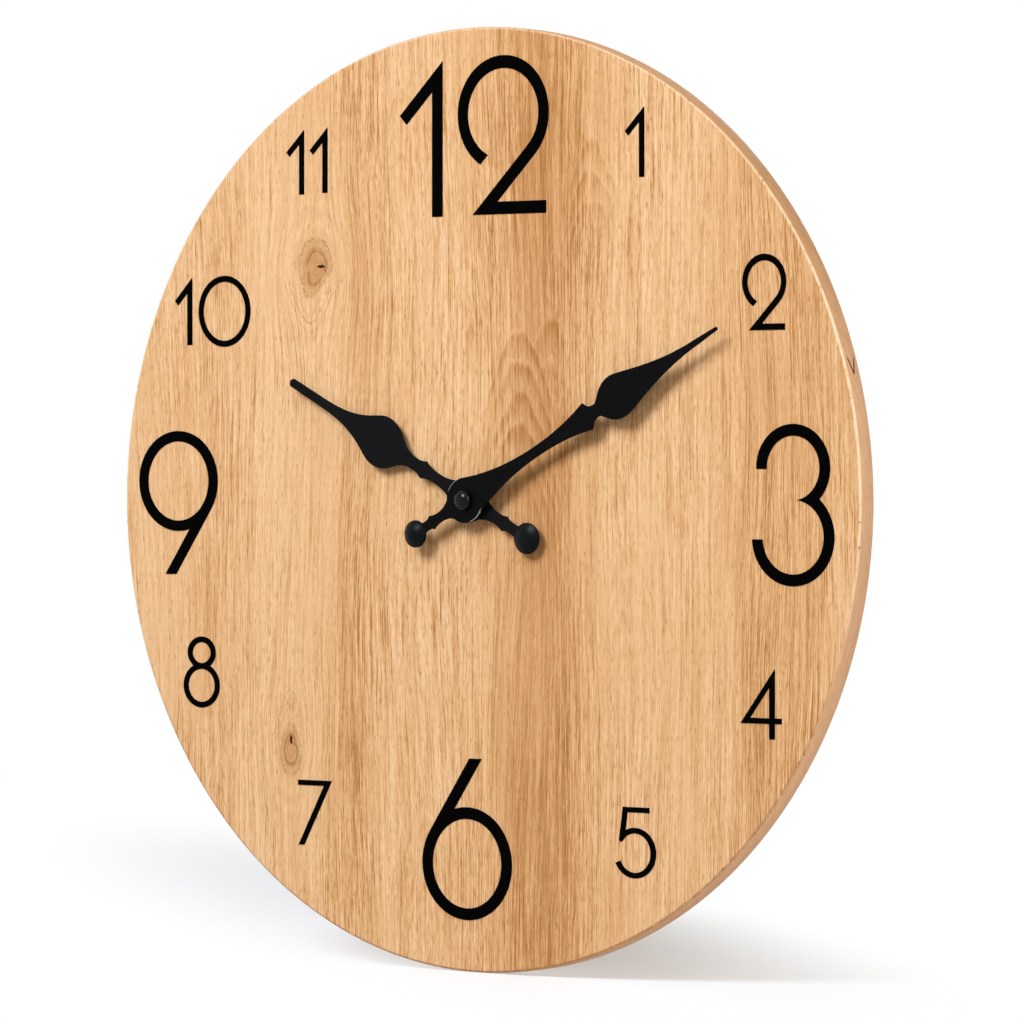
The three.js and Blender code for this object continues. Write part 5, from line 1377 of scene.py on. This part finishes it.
def cell_mesh():
    """A cell turned about a line along X: crimped ends, a flat end and a nub."""
    low, high = CELL_X[0], CELL_X[1] - CELL_NUB_LENGTH
    edge, crimp, nub_edge = 0.6, 0.35, 0.3
    profile = [(0, low + 0.15), (5.2, low + 0.15), (5.5, low)]
    profile += [(CELL_RADIUS - 0.5 - crimp * math.cos(angle), low + crimp - crimp * math.sin(angle))
                for angle in (math.pi / 2, math.pi / 4)]
    profile += round_edge((CELL_RADIUS - edge, low + edge), edge, -80, 0, 6)
    profile += [(CELL_RADIUS, low + 2.0), (CELL_RADIUS, high - 2.0)]
    profile += round_edge((CELL_RADIUS - edge, high - edge), edge, 0, 90, 6)
    profile += [(4.4, high), (4.1, high - 0.3), (CELL_NUB_RADIUS + 0.4, high - 0.3),
                (CELL_NUB_RADIUS, high + 0.1)]
    profile += round_edge((CELL_NUB_RADIUS - nub_edge, CELL_X[1] - nub_edge), nub_edge, 0, 90, 4)
    profile.append((0, CELL_X[1]))
    piece = lathe("single_cell", profile, segments=96)
    middle = placed(0, *CELL_MIDDLE)
    shaft = placed(0, 0, 0)
    for vert in piece.data.vertices:
        x, y, z = vert.co - shaft
        vert.co = (y, middle.y + x, middle.z + z)
    piece.data.flip_normals()
    return piece


def coil_mesh():
    """One turn of wire round the bobbin, repeated along it."""
    wire, pitch, corner = WIRE_RADIUS * MM, WIRE_PITCH * MM, COIL_CORNER * MM
    (left, front, bottom), (right, rear, top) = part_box("coil_winding")
    half_x, half_y = (right - left) / 2 - wire, (rear - front) / 2 - wire
    path = []
    for x, y, start in ((1, -1, -90), (1, 1, 0), (-1, 1, 90), (-1, -1, 180)):
        for step in range(7):
            angle = math.radians(start + 15 * step)
            out = (math.cos(angle), math.sin(angle))
            path.append((x * (half_x - corner) + corner * out[0],
                         y * (half_y - corner) + corner * out[1], *out))
    body = bmesh.new()
    sides = 8
    rings = []
    for x, y, out_x, out_y in path:
        ring = []
        for step in range(sides):
            angle = 2 * math.pi * step / sides
            out = wire * math.cos(angle)
            ring.append(body.verts.new((x + out * out_x, y + out * out_y, wire * math.sin(angle))))
        rings.append(ring)
    for first, second in zip(rings, rings[1:] + rings[:1]):
        for step in range(sides):
            ahead = (step + 1) % sides
            body.faces.new((first[step], first[ahead], second[ahead], second[step]))
    finish_edges(body, crease=80)
    loop = add_object("turn_of_wire", as_mesh("turn_of_wire", body))
    count = int((top - bottom - 2 * wire) / pitch) + 1
    start = ((left + right) / 2, (front + rear) / 2, bottom + wire)
    return repeated("wound_wire", loop, SLOT_FINISHES["copper"].material, count,
                    move_each=(0, 0, pitch), middle=start)


dress(case_mesh(), "case_front", "clock_body", "case_black")
dress(cover_mesh(), "rear_cover", "clock_body", "case_black")
dress(knob_mesh(), "setting_knob", "setting_knob_set", "white_nylon")
dress(cell_mesh(), "battery", "battery_cell", "cell_jacket")
dress(coil_mesh(), "coil_winding", "clock_body", "copper")


# Camera, floor and lights
def direction(azimuth, elevation):
    """Where something lies from the object. Azimuth 0 is in front and turns to the right."""
    return Vector((
        math.sin(azimuth) * math.cos(elevation),
        -math.cos(azimuth) * math.cos(elevation),
        math.sin(elevation),
    ))


def aimed(name, data, place, target):
    thing = add_object(name, data)
    thing.location = place
    thing.rotation_euler = (target - place).to_track_quat("-Z", "Y").to_euler()
    return thing


def make_camera():
    lens = bpy.data.cameras.new("camera")
    lens.lens = CAMERA_LENS
    lens.sensor_width = SENSOR_WIDTH
    lens.sensor_height = SENSOR_WIDTH
    lens.clip_start = 0.05
    lens.clip_end = 60
    target = Vector(CAMERA_TARGET) * MM
    place = target + direction(CAMERA_AZIMUTH, CAMERA_ELEVATION) * CAMERA_DISTANCE * MM
    bpy.context.scene.camera = aimed("camera", lens, place, target)


def soft_light(name, towards, distance, size, power, colour=(1, 1, 1)):
    """A round lamp that faces the dial. Distance and size are metres, and power is watts."""
    lamp = bpy.data.lights.new(name, "AREA")
    lamp.shape = "DISK"
    lamp.size = size
    lamp.energy = power
    lamp.color = colour
    middle = placed(0, FACE_Y, 0)
    aimed(name, lamp, middle + Vector(towards).normalized() * distance, middle)


def seen_directly(tree):
    """1 on a ray from the camera, or one that a mirror or glass passes on."""
    path = add_node(tree, "ShaderNodeLightPath").outputs
    total = path["Is Camera Ray"]
    for name in ("Is Glossy Ray", "Is Transmission Ray"):
        total = add_node(tree, "ShaderNodeMath", {0: total, 1: path[name]}, operation="MAXIMUM")
    return total


def make_floor():
    body = bmesh.new()
    body.faces.new([
        body.verts.new((x * FLOOR_HALF, y * FLOOR_HALF, FLOOR_Z * MM))
        for x, y in rectangle(-1, 1, -1, 1)
    ])
    floor = add_object("floor", as_mesh("floor", body))
    material = bpy.data.materials.new("floor")
    material.use_nodes = True
    tree = material.node_tree
    # What the camera and mirrors see: pale, with the object's shadow, and white further off
    pale = tree.nodes["Principled BSDF"]
    for key, value in (("Base Color", FLOOR_PALE), ("Roughness", 0.9),
                       ("Specular IOR Level", 0.0)):
        feed(tree, pale.inputs[key], value)
    glow = add_node(tree, "ShaderNodeEmission", {"Strength": FLOOR_GLOW})
    near = add_node(tree, "ShaderNodeAddShader", {0: pale, 1: glow})
    white = add_node(tree, "ShaderNodeEmission")
    patch = add_node(tree, "ShaderNodeMapping", {
        "Vector": add_node(tree, "ShaderNodeTexCoord").outputs["Object"],
        "Location": (*SHADOW_MIDDLE, FLOOR_Z * MM), "Rotation": (0, 0, SHADOW_TURN),
        "Scale": (*SHADOW_REACH, 1),
    }, vector_type="TEXTURE")
    distance = add_node(tree, "ShaderNodeVectorMath", {0: patch}, operation="LENGTH")
    fade = add_node(tree, "ShaderNodeMapRange", {
        "Value": distance.outputs["Value"], "From Min": SHADOW_FADE[0], "From Max": SHADOW_FADE[1],
    }, interpolation_type="SMOOTHSTEP")
    seen = add_node(tree, "ShaderNodeMixShader", {"Fac": fade, 1: near, 2: white})
    # What lights the object: a dimmer floor
    dim = add_node(tree, "ShaderNodeBsdfDiffuse", {"Color": FLOOR_DIM})
    pick = add_node(tree, "ShaderNodeMixShader", {"Fac": seen_directly(tree), 1: dim, 2: seen})
    feed(tree, tree.nodes["Material Output"].inputs["Surface"], pick)
    floor.data.materials.append(material)


def make_world():
    world = bpy.data.worlds.new("studio")
    bpy.context.scene.world = world
    world.use_nodes = True
    tree = world.node_tree
    lit = tree.nodes["Background"]
    feed(tree, lit.inputs["Strength"], WORLD_LIGHT)
    feed(tree, lit.inputs["Color"], WORLD_COLOUR)
    seen = add_node(tree, "ShaderNodeBackground", {"Strength": 1.0, "Color": (1, 1, 1)})
    pick = add_node(tree, "ShaderNodeMixShader", {"Fac": seen_directly(tree), 1: lit, 2: seen})
    feed(tree, tree.nodes["World Output"].inputs["Surface"], pick)


make_camera()
make_floor()
make_world()
soft_light("key", towards=(-0.12, -0.77, 0.6), distance=2.6, size=1.25, power=61.0,
           colour=(0.94, 1.0, 1.1))
soft_light("side", towards=(0.95, -0.3, 0.45), distance=2.4, size=2.0, power=29.0,
           colour=(1.0, 1.0, 0.97))
soft_light("back", towards=(-0.2, 0.95, 0.2), distance=2.6, size=1.6, power=38.0)
bpy.context.scene.view_settings.view_transform = "Standard"
